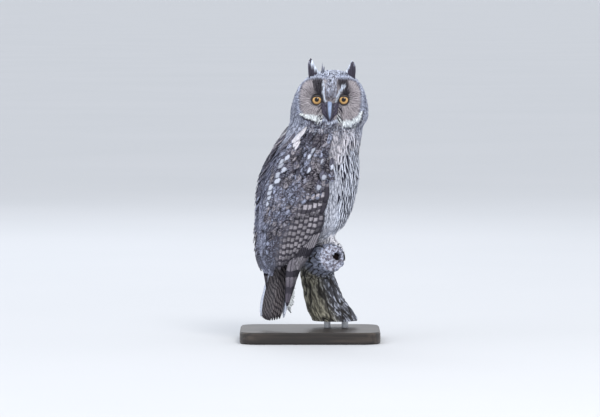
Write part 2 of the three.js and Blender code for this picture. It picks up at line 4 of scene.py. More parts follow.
import bmesh
import bpy
import numpy as np
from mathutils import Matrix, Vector
from mathutils.bvhtree import BVHTree


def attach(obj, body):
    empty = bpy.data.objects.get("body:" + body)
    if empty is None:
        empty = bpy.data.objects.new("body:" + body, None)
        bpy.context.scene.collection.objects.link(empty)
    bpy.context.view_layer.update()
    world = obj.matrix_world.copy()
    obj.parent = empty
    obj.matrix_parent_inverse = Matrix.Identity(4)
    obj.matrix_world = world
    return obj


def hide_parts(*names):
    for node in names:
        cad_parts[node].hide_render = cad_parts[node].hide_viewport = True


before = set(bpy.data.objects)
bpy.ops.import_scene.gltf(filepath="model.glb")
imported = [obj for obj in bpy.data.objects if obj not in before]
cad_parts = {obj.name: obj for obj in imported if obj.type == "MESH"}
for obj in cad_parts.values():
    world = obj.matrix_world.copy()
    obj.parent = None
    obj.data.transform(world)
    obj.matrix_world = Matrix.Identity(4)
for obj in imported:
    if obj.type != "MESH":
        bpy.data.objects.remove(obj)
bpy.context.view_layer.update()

# Studio
# The owl stands on a plain pale floor under soft lamps. The camera stands far
# off with a long lens and looks down on it by three degrees.

VIEW_MIDDLE = Vector((-0.0136, 0, 0.1796))
VIEW_DISTANCE = 6.0
VIEW_RISE = math.radians(3)
VIEW_LENS = 264.7


def paint(red, green, blue):
    """A colour from its three everyday screen values, 0 to 255."""
    parts = [value / 255 for value in (red, green, blue)]
    return [p / 12.92 if p <= 0.04045 else ((p + 0.055) / 1.055) ** 2.4 for p in parts] + [1]


camera = bpy.data.objects.new("camera", bpy.data.cameras.new("camera"))
bpy.context.collection.objects.link(camera)
camera.data.lens = VIEW_LENS
camera.data.sensor_width = 36
camera.data.clip_end = 900
camera.location = VIEW_MIDDLE + VIEW_DISTANCE * Vector((0, -math.cos(VIEW_RISE), math.sin(VIEW_RISE)))
camera.rotation_euler = (math.pi / 2 - VIEW_RISE, 0, 0)
bpy.context.scene.camera = camera
bpy.context.scene.view_settings.view_transform = "Standard"


def lamp(name, place, size, power, tint):
    made = bpy.data.objects.new(name, bpy.data.lights.new(name, "AREA"))
    bpy.context.collection.objects.link(made)
    made.data.size = size
    made.data.energy = power
    made.data.color = paint(*tint)[:3]
    made.location = place
    made.rotation_euler = (VIEW_MIDDLE - made.location).to_track_quat("-Z", "Y").to_euler()


lamp("lamp_key", Vector((0.9, -2.2, 2.6)), 1.0, 50, (255, 252, 248))
lamp("lamp_fill", Vector((-2.4, -1.6, 1.4)), 2.0, 14, (240, 246, 255))
lamp("lamp_back", Vector((-0.6, 2.4, 2.2)), 1.6, 22, (244, 248, 255))

world = bpy.data.worlds.new("studio_air")
bpy.context.scene.world = world
world.use_nodes = True
world.node_tree.nodes["Background"].inputs["Color"].default_value = paint(238, 242, 248)
world.node_tree.nodes["Background"].inputs["Strength"].default_value = 1.15


def blend_of(tree, share, below, above, way="MIX"):
    made = tree.nodes.new("ShaderNodeMix")
    made.data_type = "RGBA"
    made.blend_type = way
    for name, value in (("Factor_Float", share), ("A_Color", below), ("B_Color", above)):
        socket = next(s for s in made.inputs if s.identifier == name)
        if isinstance(value, bpy.types.NodeSocket):
            tree.links.new(value, socket)
        else:
            socket.default_value = value
    return next(s for s in made.outputs if s.identifier == "Result_Color")


def noise_of(tree, place, scale, detail):
    made = tree.nodes.new("ShaderNodeTexNoise")
    made.inputs["Scale"].default_value = scale
    made.inputs["Detail"].default_value = detail
    tree.links.new(place, made.inputs["Vector"])
    return made.outputs["Fac"]


def place_of(tree):
    return tree.nodes.new("ShaderNodeTexCoord").outputs["Object"]


def new_finish(name, roughness):
    """A material and its Principled shader, ready for its nodes."""
    made = bpy.data.materials.new(name)
    made.use_nodes = True
    shader = made.node_tree.nodes["Principled BSDF"]
    shader.inputs["Roughness"].default_value = roughness
    return made, made.node_tree, shader


def give_colour(tree, shader, colour):
    tree.links.new(colour, shader.inputs["Base Color"])


MM = 0.001


def new_piece(name, points, faces, finish):
    """A mesh object from points in millimetres."""
    mesh = bpy.data.meshes.new(name)
    mesh.from_pydata(np.asarray(points, float) * MM, [], faces)
    mesh.shade_smooth()
    mesh.materials.append(finish)
    made = bpy.data.objects.new(name, mesh)
    bpy.context.collection.objects.link(made)
    return made


floor_finish, tree, shader = new_finish("floor_paint", 0.9)
cloud = noise_of(tree, place_of(tree), 1.2, 3)
give_colour(tree, shader, blend_of(tree, cloud, paint(198, 200, 203), paint(205, 206, 209)))
FLOOR_HALF = 300000
corners = [(x * FLOOR_HALF, y * FLOOR_HALF, 0) for x, y in ((-1, -1), (1, -1), (1, 1), (-1, 1))]
floor = new_piece("floor", corners, [(0, 1, 2, 3)], floor_finish)

# Skin
# The modelled body under the feathers: head, neck, trunk, folded arms, rump,
# legs and toes in one closed form, a few millimetres inside the plumage.

# Height, middle, half depth, half width and turn of the body, as in the solids
body_rows = np.array([
    [36, -49, 13, 24, 54], [70, -43.5, 16, 25.5, 51], [99, -40, 26, 33, 42],
    [116, -34, 38, 42, 35], [137, -24, 50, 49, 29], [164, -10.5, 63, 57, 25],
    [218, 0, 68, 62, 25], [259, 9.5, 59, 55, 25], [280, 18.6, 54.5, 50, 25],
    [306, 24, 51, 47, 25],
])
BODY_SIDESTEP = 0.4
BODY_TURN = 25
COAT_DEPTH = 4.0
WING_BED = 7.4
NECK_TOP_Z = 300
TORSO_FOOT_Z = 104
# Where the trunk steps in under the wings: degrees round the body, then heights
BED_FRONT, BED_BACK, BED_TOP = (74, 83), (171, 177), (266, 280)


def smooth_step(value, low, high):
    t = np.clip((value - low) / (high - low), 0, 1)
    return t * t * (3 - 2 * t)


def fade(value, low, high):
    """The same step turned round: 1 up to low and 0 from high on."""
    return 1 - smooth_step(value, low, high)


def unit(rows):
    return rows / np.maximum(np.linalg.norm(rows, axis=-1, keepdims=True), 1e-9)


def body_row(z):
    """Middle, half depth, half width and turn of the body at each height."""
    z = np.asarray(z, float)
    last = len(body_rows) - 2
    i = np.clip(np.searchsorted(body_rows[:, 0], z) - 1, 0, last)
    before, low = body_rows[np.maximum(i - 1, 0)], body_rows[i]
    high, after = body_rows[i + 1], body_rows[np.minimum(i + 2, last + 1)]
    span = high[:, :1] - low[:, :1]
    t = (z[:, None] - low[:, :1]) / span
    slope_low = (high - before)[:, 1:] / (high - before)[:, :1] * span
    slope_high = (after - low)[:, 1:] / (after - low)[:, :1] * span
    row = ((2 * t**3 - 3 * t**2 + 1) * low[:, 1:] + (t**3 - 2 * t**2 + t) * slope_low
           + (3 * t**2 - 2 * t**3) * high[:, 1:] + (t**3 - t**2) * slope_high)
    return row.T


def on_body(z, degrees, lift, radius=1.0):
    """Points of the body: 0 degrees is the breast, 90 its right side, 180 the back."""
    given = np.broadcast_arrays(z, degrees, lift, radius)
    z, degrees, lift, radius = [a.ravel().astype(float) for a in given]
    x, depth, width, turn = body_row(z)
    yaw, angle = np.radians(turn), np.radians(degrees)
    ahead = radius * np.maximum(depth + lift, 1) * np.cos(angle)
    aside = radius * np.maximum(width + lift, 1) * np.sin(angle)
    return np.stack([
        x + ahead * np.cos(yaw) + aside * np.sin(yaw),
        BODY_SIDESTEP * x + ahead * np.sin(yaw) - aside * np.cos(yaw),
        z,
    ], 1)


def body_degrees(points):
    """How far round the body each point lies, -180 to 180."""
    x, depth, width, turn = body_row(points[:, 2])
    yaw = np.radians(turn)
    dx, dy = points[:, 0] - x, points[:, 1] - BODY_SIDESTEP * x
    ahead = dx * np.cos(yaw) + dy * np.sin(yaw)
    aside = dx * np.sin(yaw) - dy * np.cos(yaw)
    return np.degrees(np.arctan2(aside / width, ahead / depth))


def loft(rings, sectors, place):
    """A closed form: rings of points from place(along, angle, radius), capped at both ends."""
    along = np.repeat(np.linspace(0, 1, rings + 1), sectors)
    angle = np.tile(np.arange(sectors) / sectors * 2 * math.pi, rings + 1)
    points = place(along, angle, np.ones_like(along))
    ends = place(np.array([0.0, 1.0]), np.zeros(2), np.zeros(2))
    points = np.vstack([points, ends])
    faces = []
    for r in range(rings):
        for s in range(sectors):
            t = (s + 1) % sectors
            a, b = r * sectors, (r + 1) * sectors
            faces.append((a + s, b + s, b + t, a + t))
    foot, top = len(points) - 2, len(points) - 1
    for s in range(sectors):
        t = (s + 1) % sectors
        faces.append((foot, s, t))
        faces.append((top, rings * sectors + t, rings * sectors + s))
    return points, faces


def trunk_place(along, angle, radius):
    foot = TORSO_FOOT_Z + 2
    z = foot + (NECK_TOP_Z - foot) * along
    degrees = np.degrees(angle)
    side = np.abs((degrees + 180) % 360 - 180)
    across = smooth_step(side, *BED_FRONT) * fade(side, *BED_BACK) * fade(z, *BED_TOP)
    belly = np.maximum(np.cos(angle), 0) * np.maximum(154 - z, 0) * 0.9
    taper = np.maximum(150 - z, 0) * 0.3 + belly
    low = smooth_step(150 - z, 0, 12)
    bed = np.maximum(across, low)
    return on_body(z, degrees, -COAT_DEPTH - (WING_BED - COAT_DEPTH) * bed - taper, radius)


CROWN_Z, FACE_Z, HEAD_FOOT_Z, HEAD_BLEND_Z = 368, 300, 288, 306
HEAD_X, HEAD_HALF_WIDTH, HEAD_FRONT, HEAD_BACK = 26.5, 53, 40, 46
EYE_HALF_SPAN, EYE_Z, EYE_RADIUS, EYE_SINK = 18.2, 328, 8.5, 6.1
DISC_RADIUS, DISC_DEPTH = 27, 5.5
HEAD_COAT = 2.2
# How square the head is: seen from the front, and from above before and behind
CROWN_POWER, FRONT_POWER, BACK_POWER = 2.4, 2.7, 2.1


def head_middle(z):
    return HEAD_X + (z - 313) * 0.05


def head_size(z):
    height = np.maximum((z - FACE_Z) / (CROWN_Z - FACE_Z), 0)
    return np.maximum(1 - height**CROWN_POWER, 0) ** (1 / CROWN_POWER)


def face_relief(x, z):
    """Two shallow dishes with a raised rim, and the ridge between them."""
    across = (np.abs(x - head_middle(z)) - EYE_HALF_SPAN) / DISC_RADIUS
    up = (z - EYE_Z + 4) / (DISC_RADIUS * 1.12)
    away = np.hypot(across * np.where(across < 0, 1.35, 1), up)
    dish = DISC_DEPTH * np.maximum(1 - away**2, 0) ** 1.5
    rim = 3 * np.exp(-(((away - 1.02) / 0.13) ** 2)) * np.where(across > -0.4, 1, 0.3)
    ridge = 5 * np.exp(-(((x - head_middle(z)) / 6.5) ** 2))
    return dish - rim - ridge * smooth_step(z, 300, 322) * fade(z, 345, 362)


def head_place(along, angle, radius):
    rise = np.sin(along * math.pi / 2) ** 0.94
    z = HEAD_FOOT_Z + (CROWN_Z - HEAD_COAT - HEAD_FOOT_Z) * rise
    scale = head_size(z + HEAD_COAT * rise * 0.9)
    cx, cy = np.cos(angle), np.sin(angle)
    power = np.where(cy < 0, FRONT_POWER, BACK_POWER)
    depth = np.where(cy < 0, HEAD_FRONT, HEAD_BACK)
    reach = (np.abs(cx / HEAD_HALF_WIDTH) ** power + np.abs(cy / depth) ** power) ** (-1 / power)
    reach = np.maximum(reach * scale - HEAD_COAT, 0.5)
    x = head_middle(z) + radius * reach * cx
    y = radius * reach * cy
    y += np.where(cy < 0, radius * face_relief(x, z) * smooth_step(-cy, 0.35, 0.8) * scale, 0)
    head = np.stack([x, y, z], 1)
    neck = on_body(z, BODY_TURN - np.degrees(angle), -COAT_DEPTH, radius)
    share = fade(z, HEAD_FOOT_Z, HEAD_BLEND_Z)[:, None]
    return head + (neck - head) * share


def face_y(x, z):
    """How far forward the plumage of the face reaches."""
    scale = head_size(z)
    across = np.minimum(np.abs(x - head_middle(z)) / (HEAD_HALF_WIDTH * scale), 1)
    forward = HEAD_FRONT * scale * (1 - across**FRONT_POWER) ** (1 / FRONT_POWER)
    return -forward + face_relief(x, z) * scale


eyes = []
for side in (-1, 1):
    x = head_middle(EYE_Z) + side * EYE_HALF_SPAN
    eyes.append(np.array([x, face_y(x, EYE_Z) + EYE_SINK, EYE_Z]))


ARM_FOOT_Z, ARM_TOP_Z = 150, 272


def arm_place(side):
    """The folded arm that the wing coverts grow from."""
    def place(along, angle, radius):
        z = ARM_FOOT_Z + (ARM_TOP_Z - ARM_FOOT_Z) * along
        front = 89 + 9 * smooth_step(z, 220, ARM_TOP_Z)
        back = 169 - 5 * smooth_step(z, 235, ARM_TOP_Z)
        ends = (0.8 + 0.2 * smooth_step(along, 0, 0.15)) * (1 - 0.15 * smooth_step(along, 0.8, 1))
        u, w = np.cos(angle), np.sin(angle)
        across = np.sign(u) * np.abs(u) ** 0.8 * radius * ends
        outer = 1.2 + 2.4 * smooth_step(z, ARM_FOOT_Z, 192)
        lift = -7 + outer * (0.5 + 0.5 * np.sign(w) * np.abs(w) ** 0.8 * radius)
        return on_body(z, side * ((front + back) / 2 + across * (back - front) / 2), lift)
    return place


TAIL_LENGTH, TAIL_HALF_WIDTH, TAIL_ROOT_HALF, TAIL_RISE = 112, 20.5, 13, 4.5
TAIL_TURN = math.radians(53)
tail_root = np.array([-33.0, -9, 138])
tail_tip = np.array([-51.5, -18, 28.5])
tail_along = (tail_tip - tail_root) / np.linalg.norm(tail_tip - tail_root)
tail_across = np.array([math.sin(TAIL_TURN), -math.cos(TAIL_TURN), 0])
tail_up = np.cross(tail_across, tail_along)
tail_up *= -np.sign(tail_up[0]) / np.linalg.norm(tail_up)


def on_tail(along, across, lift):
    along, across, lift = [a.ravel().astype(float) for a in np.broadcast_arrays(along, across, lift)]
    half = TAIL_ROOT_HALF + (TAIL_HALF_WIDTH - TAIL_ROOT_HALF) * smooth_step(along, 0, 0.8)
    return (tail_root + np.outer(along * TAIL_LENGTH, tail_along) + np.outer(across * half, tail_across)
            + np.outer(TAIL_RISE * (1 - across**2) + lift, tail_up))


def rump_place(along, angle, radius):
    wide = np.sqrt(np.maximum(1 - (2 * along - 1) ** 2, 0)) * radius
    return on_tail(0.1 + (along - 0.5) * 0.4, wide * np.cos(angle) * 0.8, -1.5 + wide * np.sin(angle) * 4)


def curve_through(points, count):
    """A smooth line of count points that passes through the given ones."""
    points = np.asarray(points, float)
    ends = np.vstack([2 * points[0] - points[1], points, 2 * points[-1] - points[-2]])
    place = np.linspace(0, len(points) - 1, count)
    i = np.minimum(place.astype(int), len(points) - 2)
    t = (place - i)[:, None]
    a, b, c, d = ends[i], ends[i + 1], ends[i + 2], ends[i + 3]
    square, cube = 2 * a - 5 * b + 4 * c - d, 3 * b - a - 3 * c + d
    return 0.5 * (2 * b + (c - a) * t + square * t**2 + cube * t**3)


def along_line(line):
    """The direction of a line at each of its points."""
    ways = np.gradient(line, axis=0)
    return ways / np.linalg.norm(ways, axis=1)[:, None]


def rod_along(line, sizes, sectors, swell=None):
    """A closed round form along a line of points; swell(along, angle) varies its size."""
    ways = along_line(line)
    first = np.cross(ways[0], (0.3, 0.2, 1.0) if abs(ways[0][2]) < 0.9 else (1.0, 0.2, 0.1))
    sides = []
    for way in ways:
        first = first - way * first.dot(way)
        first /= np.linalg.norm(first)
        sides.append(first)
    sides = np.array(sides)
    ups = np.cross(ways, sides)
    sizes = np.broadcast_to(sizes, len(line))

    def place(along, angle, radius):
        k = np.rint(along * (len(line) - 1)).astype(int)
        size = sizes[k] * radius * (1 if swell is None else swell(along, angle))
        aside, upward = (size * np.cos(angle))[:, None], (size * np.sin(angle))[:, None]
        return line[k] + sides[k] * aside + ups[k] * upward
    return loft(len(line) - 1, sectors, place)


stances = [
    {"side": "right", "turn": 1, "hip": (26, -16, 172), "ankle": (18, -12, 135)},
    {"side": "left", "turn": -1, "hip": (12, 17, 172), "ankle": (10.5, 13, 134)},
]
# Each toe's turn from straight ahead, in degrees, and its reach beside the middle toe's
toe_turns = [(-18, 1.02), (8, 1.0), (34, 1.14), (182, 1.0)]


TOE_HEADING, TOE_POINTS = 20, 14


def toe_line(ankle, turn, reach, side):
    """A toe's middle line, from the heel out and down round the branch."""
    heading = math.radians(TOE_HEADING - side * turn)
    ahead = np.array([math.cos(heading), math.sin(heading), 0])
    foot = np.array([ankle[0], ankle[1], 0])
    steps = [(0, ankle[2] + 1), (10, ankle[2] + 0.5), (19, ankle[2] - 5.5), (24, ankle[2] - 14)]
    return curve_through([foot + ahead * out * reach + (0, 0, z) for out, z in steps], TOE_POINTS)


def gather(forms):
    """Several forms as one list of points and one of faces."""
    points, faces, start = [], [], 0
    for some_points, some_faces in forms:
        points.append(some_points)
        faces += [tuple(start + i for i in face) for face in some_faces]
        start += len(some_points)
    return np.vstack(points), faces


flesh = [loft(60, 72, trunk_place), loft(48, 120, head_place), loft(12, 24, rump_place)]
flesh += [loft(40, 24, arm_place(side)) for side in (1, -1)]
for stance in stances:
    leg = curve_through([np.array(stance["ankle"]) + (0, 0, 1), stance["hip"]], 12)
    flesh.append(rod_along(leg, 8 + 9 * np.sin(np.linspace(0, math.pi / 2, 12)), 24))
    heel = np.array(stance["ankle"]) + np.outer(np.linspace(-6, 5, 8), (0, 0, 1.0))
    flesh.append(rod_along(heel, 7 * np.sin(np.linspace(0.5, 2.6, 8)), 20))
    for turn, reach in toe_turns:
        line = toe_line(stance["ankle"], turn, reach, stance["turn"])
        flesh.append(rod_along(line, 2.9 - 0.5 * np.linspace(0, 1, len(line)), 12))


def feed(tree, made, values):
    """Gives a shader node's inputs, in order, a value or a link each."""
    for socket, value in zip(made.inputs, values):
        if isinstance(value, bpy.types.NodeSocket):
            tree.links.new(value, socket)
        elif value is not None:
            socket.default_value = value


def step_of(tree, value, low, high, out_low=0.0, out_high=1.0):
    """A smooth step of value, from out_low at low to out_high at high."""
    made = tree.nodes.new("ShaderNodeMapRange")
    made.interpolation_type = "SMOOTHSTEP"
    feed(tree, made, (value, low, high, out_low, out_high))
    return made.outputs["Result"]


def stored(tree, name, part="Vector"):
    made = tree.nodes.new("ShaderNodeAttribute")
    made.attribute_name = name
    return made.outputs[part]


def emboss(tree, shader, height, strength, depth):
    bump = tree.nodes.new("ShaderNodeBump")
    bump.inputs["Strength"].default_value = strength
    bump.inputs["Distance"].default_value = depth
    tree.links.new(height, bump.inputs["Height"])
    tree.links.new(bump.outputs["Normal"], shader.inputs["Normal"])


skin_finish, tree, shader = new_finish("skin_down", 0.9)
down = noise_of(tree, place_of(tree), 420, 3)
share = step_of(tree, down, 0.3, 0.7, 0.75, 1.0)
give_colour(tree, shader, blend_of(tree, share, paint(40, 40, 46), stored(tree, "ground", "Color")))
emboss(tree, shader, down, 0.6, 0.002)

SKIN_CELL = 0.0021
skin = new_piece("owl_skin", *gather(flesh), skin_finish)
remesh = skin.modifiers.new("one_form", "REMESH")
remesh.mode = "VOXEL"
remesh.voxel_size = SKIN_CELL
soften = skin.modifiers.new("soften", "SMOOTH")
soften.factor, soften.iterations = 0.5, 4
whole = bpy.data.meshes.new_from_object(skin.evaluated_get(bpy.context.evaluated_depsgraph_get()))
skin.modifiers.clear()
skin.data = whole
skin.data.name = "owl_skin"
skin.data.shade_smooth()
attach(skin, "root")
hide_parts("head", "neck", "torso", "leg_right", "leg_left", "foot_right", "foot_left")

skin_points = np.array([v.co for v in skin.data.vertices]) / MM
skin_faces = [tuple(p.vertices) for p in skin.data.polygons]
skin_tree = BVHTree.FromPolygons([Vector(p) for p in skin_points], skin_faces)
vertex_ways = np.array([v.normal for v in skin.data.vertices])
face_ways = np.array([vertex_ways[list(face)].mean(0) for face in skin_faces])
face_ways /= np.linalg.norm(face_ways, axis=1)[:, None]


def settle(points):
    """The nearest places on the skin, with its outward way at each."""
    spots, ways = np.empty_like(points), np.empty_like(points)
    for k, point in enumerate(points):
        spot, _, face, _ = skin_tree.find_nearest(Vector(point))
        spots[k] = spot
        ways[k] = face_ways[face]
    return spots, ways


# The owl's markings, used for skin and feathers alike: the ground tone of each
# place. Each line of the face gives points, as millimetres across from the head's
# middle and height, and its half width at every point.


def plain_tone(red, green, blue):
    """A colour as an array that can be reckoned with."""
    return np.array(paint(red, green, blue)[:3])


tones = {name: plain_tone(*tone) for name, tone in {
    "breast": (224, 229, 243), "flank": (198, 201, 213), "belly": (238, 238, 243), "back": (116, 118, 138),
    "wing": (92, 90, 100), "head": (164, 168, 186), "crown": (226, 233, 252), "disc": (184, 177, 182),
    "white": (247, 252, 255), "frost": (230, 239, 255), "black": (40, 38, 48), "lore": (72, 68, 82),
    "nape": (180, 184, 202), "brown": (92, 86, 92), "band": (150, 156, 178), "slate": (92, 90, 104),
    "buff": (206, 202, 210),
}.items()}
brow_lines = [([(-10.3, 352), (-9.5, 341), (-8.5, 332), (-6.2, 324)], (1.3, 1.2, 1.0, 0.6)),
              ([(17.6, 346.5), (13.6, 341), (10.9, 335), (7.6, 325)], (2.3, 1.5, 1.1, 0.6))]
black_lines = [([(-18.0, 353), (-16.4, 344), (-14.2, 335)], (5.2, 3.8, 1.8)),
               ([(15.6, 353), (19.2, 344), (21.2, 335)], (5.0, 3.6, 1.6)),
               ([(-13.0, 327.5), (-8.8, 324.8)], (2.0, 0.5)), ([(13.0, 327.5), (8.8, 324.8)], (2.0, 0.5))]
white_lines = [([(-38.5, 309), (-29.9, 305.6), (-23, 304.4), (-15.5, 302)], (0.9, 1.9, 3.0, 4.2)),
               ([(43.1, 311), (39.6, 302.4), (32.5, 295.4), (22.0, 296)], (0.9, 2.8, 4.0, 4.6))]
chin_line = ([(-8, 307), (-4, 301), (0.9, 296), (6, 298), (11, 302)], (0.9, 1.4, 1.9, 1.4, 1.0))
under_lines = [([(-41, 309.5), (-35.5, 303.2), (-26, 300.6), (-18, 296)], (0.6, 0.9, 1.0, 1.2)),
               ([(45.2, 311), (42.6, 300.3), (35, 291.4), (25, 289.6)], (0.7, 1.2, 1.6, 1.6))]

# The half width of the dark wedge round the bill at some heights
lore_widths = [297, 301.8, 307.9, 313.9, 316.5, 319.5, 324], [0, 3.2, 7.2, 12.5, 17.0, 15.5, 8.0]


def off_line(across, z, line):
    """The distance of each place from a bent line, and how far along it that is."""
    best, where = np.full(across.shape, 1e9), np.zeros(across.shape)
    for k, ((x0, z0), (x1, z1)) in enumerate(zip(line, line[1:])):
        dx, dz = x1 - x0, z1 - z0
        t = np.clip(((across - x0) * dx + (z - z0) * dz) / (dx * dx + dz * dz), 0, 1)
        away = np.hypot(across - x0 - t * dx, z - z0 - t * dz)
        where = np.where(away < best, (k + t) / (len(line) - 1), where)
        best = np.minimum(best, away)
    return best, where


def eye_polar(points):
    """Distance from the nearer eye and the way from it, seen face on, and which eye."""
    which = np.where(points[:, 0] < head_middle(points[:, 2]), 0, 1)
    centre = np.array(eyes)[which]
    dx, dz = points[:, 0] - centre[:, 0], points[:, 2] - centre[:, 2]
    return np.hypot(dx, dz), dx, dz, which


# The disc's reach from the eye: away from the bill, towards it, up or down, and down on the right
DISC_OUT, DISC_IN, DISC_TALL, DISC_SHORT = 23.5, 32.0, 28.5, 25.0
DISC_POWER = 2.7


def disc_reach(points):
    """How far out in its disc each place of the face lies: 0 at the eye, 1 at the rim."""
    _, dx, dz, which = eye_polar(points)
    out = np.where(which == 0, -dx, dx)
    reach = np.where(out > 0, DISC_OUT, DISC_IN)
    tall = np.where((dz > 0) | (which == 1), DISC_TALL, DISC_SHORT)
    return (np.abs(out / reach) ** DISC_POWER + np.abs(dz / tall) ** DISC_POWER) ** (1 / DISC_POWER)


def face_share(points):
    """1 inside the two discs of the face, 0 outside."""
    inside = fade(disc_reach(points), 0.95, 1.03)
    return inside * (points[:, 1] < -8) * (points[:, 2] > 294)


def on_line(across, z, line, soft):
    """1 on a bent line of changing width, falling to 0 at its soft edge."""
    places, halves = line
    away, where = off_line(across, z, places)
    half = np.interp(where, np.linspace(0, 1, len(halves)), halves)
    return fade(away, half, half + soft)


def drift(points, size, seed):
    """A smooth random field through space, about -1 to 1, in patches of the given size."""
    source = np.random.default_rng(seed)
    ways = unit(source.normal(0, 1, (14, 3))) * math.pi / (size * source.uniform(0.7, 1.4, (14, 1)))
    return np.cos(points @ ways.T + source.uniform(0, 6.28, 14)).sum(1) / 3.2


def ground_tone(points):
    """The ground colour of the plumage at each point."""
    z, degrees = points[:, 2], np.abs(body_degrees(points))
    across = points[:, 0] - head_middle(z)
    base = np.tile(tones["breast"], (len(points), 1))

    def lay(tone, share):
        base[:] += (tones[tone] - base) * share[:, None]

    # The body: flanks, breast top, the painted shade on the throat and in the hollow
    # before the wing, back, belly and nape
    lay("flank", smooth_step(degrees, 62, 72) * (z < 240) + 1.0 * (z < 168))
    lay("buff", smooth_step(z, 244, 256) * smooth_step(degrees, 60, 78))
    lay("buff", 0.75 * smooth_step(z, 258, 274))
    dark = smooth_step(z, 250, 262) * smooth_step(degrees, 98, 112) + 0.9 * smooth_step(z, 278, 288)
    lay("slate", np.clip(dark, 0, 1) * smooth_step(drift(points, 7, 3), -0.9, 0.5))
    # Painted shade: mottled dark slate on the throat, below the face
    throat_shade = smooth_step(z, 274, 284) * smooth_step(degrees, 94, 104) * (points[:, 1] < 0)
    lay("slate", 0.85 * throat_shade * smooth_step(drift(points, 4, 5), -1.3, 0.4))
    # Painted shade: the hollow before the wing is darkened by about a third, unevenly
    patch = smooth_step(degrees, 74, 82) * fade(degrees, 104, 112) * smooth_step(z, 254, 262)
    base *= (1 - patch * (0.3 - 0.12 * drift(points, 5, 6)))[:, None]
    lay("wing", smooth_step(degrees, 92, 104) * (z < 268))
    lay("back", smooth_step(degrees, 136, 150) * (z < 300))
    lay("belly", fade(z, 140, 160))
    lay("nape", smooth_step(z, 268, 290) * smooth_step(points[:, 1], -25, 5))
    lay("nape", smooth_step(z, 258, 284) * smooth_step(degrees, 140, 150))

    # The head: crown, the two discs and their broken dark rims
    lay("head", smooth_step(z, 296, 303))
    lay("crown", smooth_step(z, 350, 358))
    front = points[:, 1] < -5
    high = (z > 298) * front
    out = disc_reach(points)
    lay("band", fade(out, 1.2, 1.3) * high)
    lay("disc", face_share(points))
    dim = fade(out, 0.45, 0.85) * smooth_step(z, 326, 336)
    lay("brown", 0.55 * dim * high)
    broken = 0.55 + 0.35 * drift(points, 5, 31)
    ring = fade(np.abs(out - 1.0), 0.01, 0.07) * high
    lay("slate", ring * np.clip(broken, 0, 1) * (np.abs(across) > 9))
    lay("crown", 0.5 * fade(np.abs(out - 1.08), 0.02, 0.06) * high)

    # The face: black lines and eye rings, the wedge between the eyes, the white brows
    for line in black_lines:
        lay("black", 0.95 * on_line(across, z, line, 4.5) * front * face_share(points))
    away, _, dz, _ = eye_polar(points)
    lay("black", fade(away, 7.4 + 0.12 * dz, 8.6 + 0.12 * dz) * front)
    wedge = fade(np.abs(across - 1), 6, 8) * smooth_step(z, 328, 334)
    lay("head", wedge * front)
    speckled = np.clip(0.5 + drift(points, 2.6, 17), 0, 1)
    lay("crown", wedge * front * speckled * smooth_step(z, 332, 350))
    lay("slate", wedge * front * smooth_step(drift(points, 2.2, 19), 0.35, 0.8))
    nose = fade(np.abs(across), 3.5, 8) * fade(np.abs(z - 330.5), 1.5, 6.5)
    lay("brown", nose * front * np.clip(0.75 + 0.5 * drift(points, 1.8, 43), 0, 1))
    frosted = np.clip(0.95 + 0.5 * drift(points, 1.6, 41), 0, 1)
    for line in brow_lines:
        lay("frost", on_line(across, z, line, 1.3) * front * frosted)

    # The dark lores, and the dark and white lines under the face
    lore_half = np.interp(z, *lore_widths)
    beak = fade(np.abs(across) - lore_half, -0.5, 1.8) * fade(z, 321, 326)
    gaps = np.clip(0.35 - 0.7 * drift(points, 1.7, 53), 0, 1)
    beak = beak * (1 - 0.9 * gaps * smooth_step(np.abs(across), 8.5, 10.5))
    lay("lore", beak * front)
    lay("head", 0.45 * beak * front * smooth_step(drift(points * (1, 1, 0.4), 1.5, 47), 0.1, 0.8))
    for dark_line, white_line in zip(under_lines, white_lines):
        lay("black", on_line(across, z, dark_line, 1.0) * front)
        lay("white", on_line(across, z, white_line, 1.2) * front)
    lay("crown", 0.85 * on_line(across, z, chin_line, 1.4) * front)
    return base


def keep_tone(mesh, name, colours):
    """Keeps a colour at every point of a mesh, for its finish to read."""
    layer = mesh.color_attributes.new(name, "FLOAT_COLOR", "POINT")
    flat = np.ones((len(colours), 4), np.float32)
    flat[:, :colours.shape[1]] = colours
    layer.data.foreach_set("color", flat.ravel())


SKIN_SHADE = 0.8
keep_tone(skin.data, "ground", ground_tone(skin_points) * SKIN_SHADE)

# Breast, belly and flanks
# Soft body feathers of the underside, each a thin blade. Plain ones lie all over,
# and on them stand upright files of longer ones, most with a dark shaft streak.
# They overlap downwards like shingles.

dice = np.random.default_rng(20)


def sum_of(tree, operation, *values):
    made = tree.nodes.new("ShaderNodeMath")
    made.operation = operation
    feed(tree, made, values)
    return made.outputs[0]


def vector_of(tree, x, y, z):
    made = tree.nodes.new("ShaderNodeCombineXYZ")
    feed(tree, made, (x, y, z))
    return made.outputs[0]


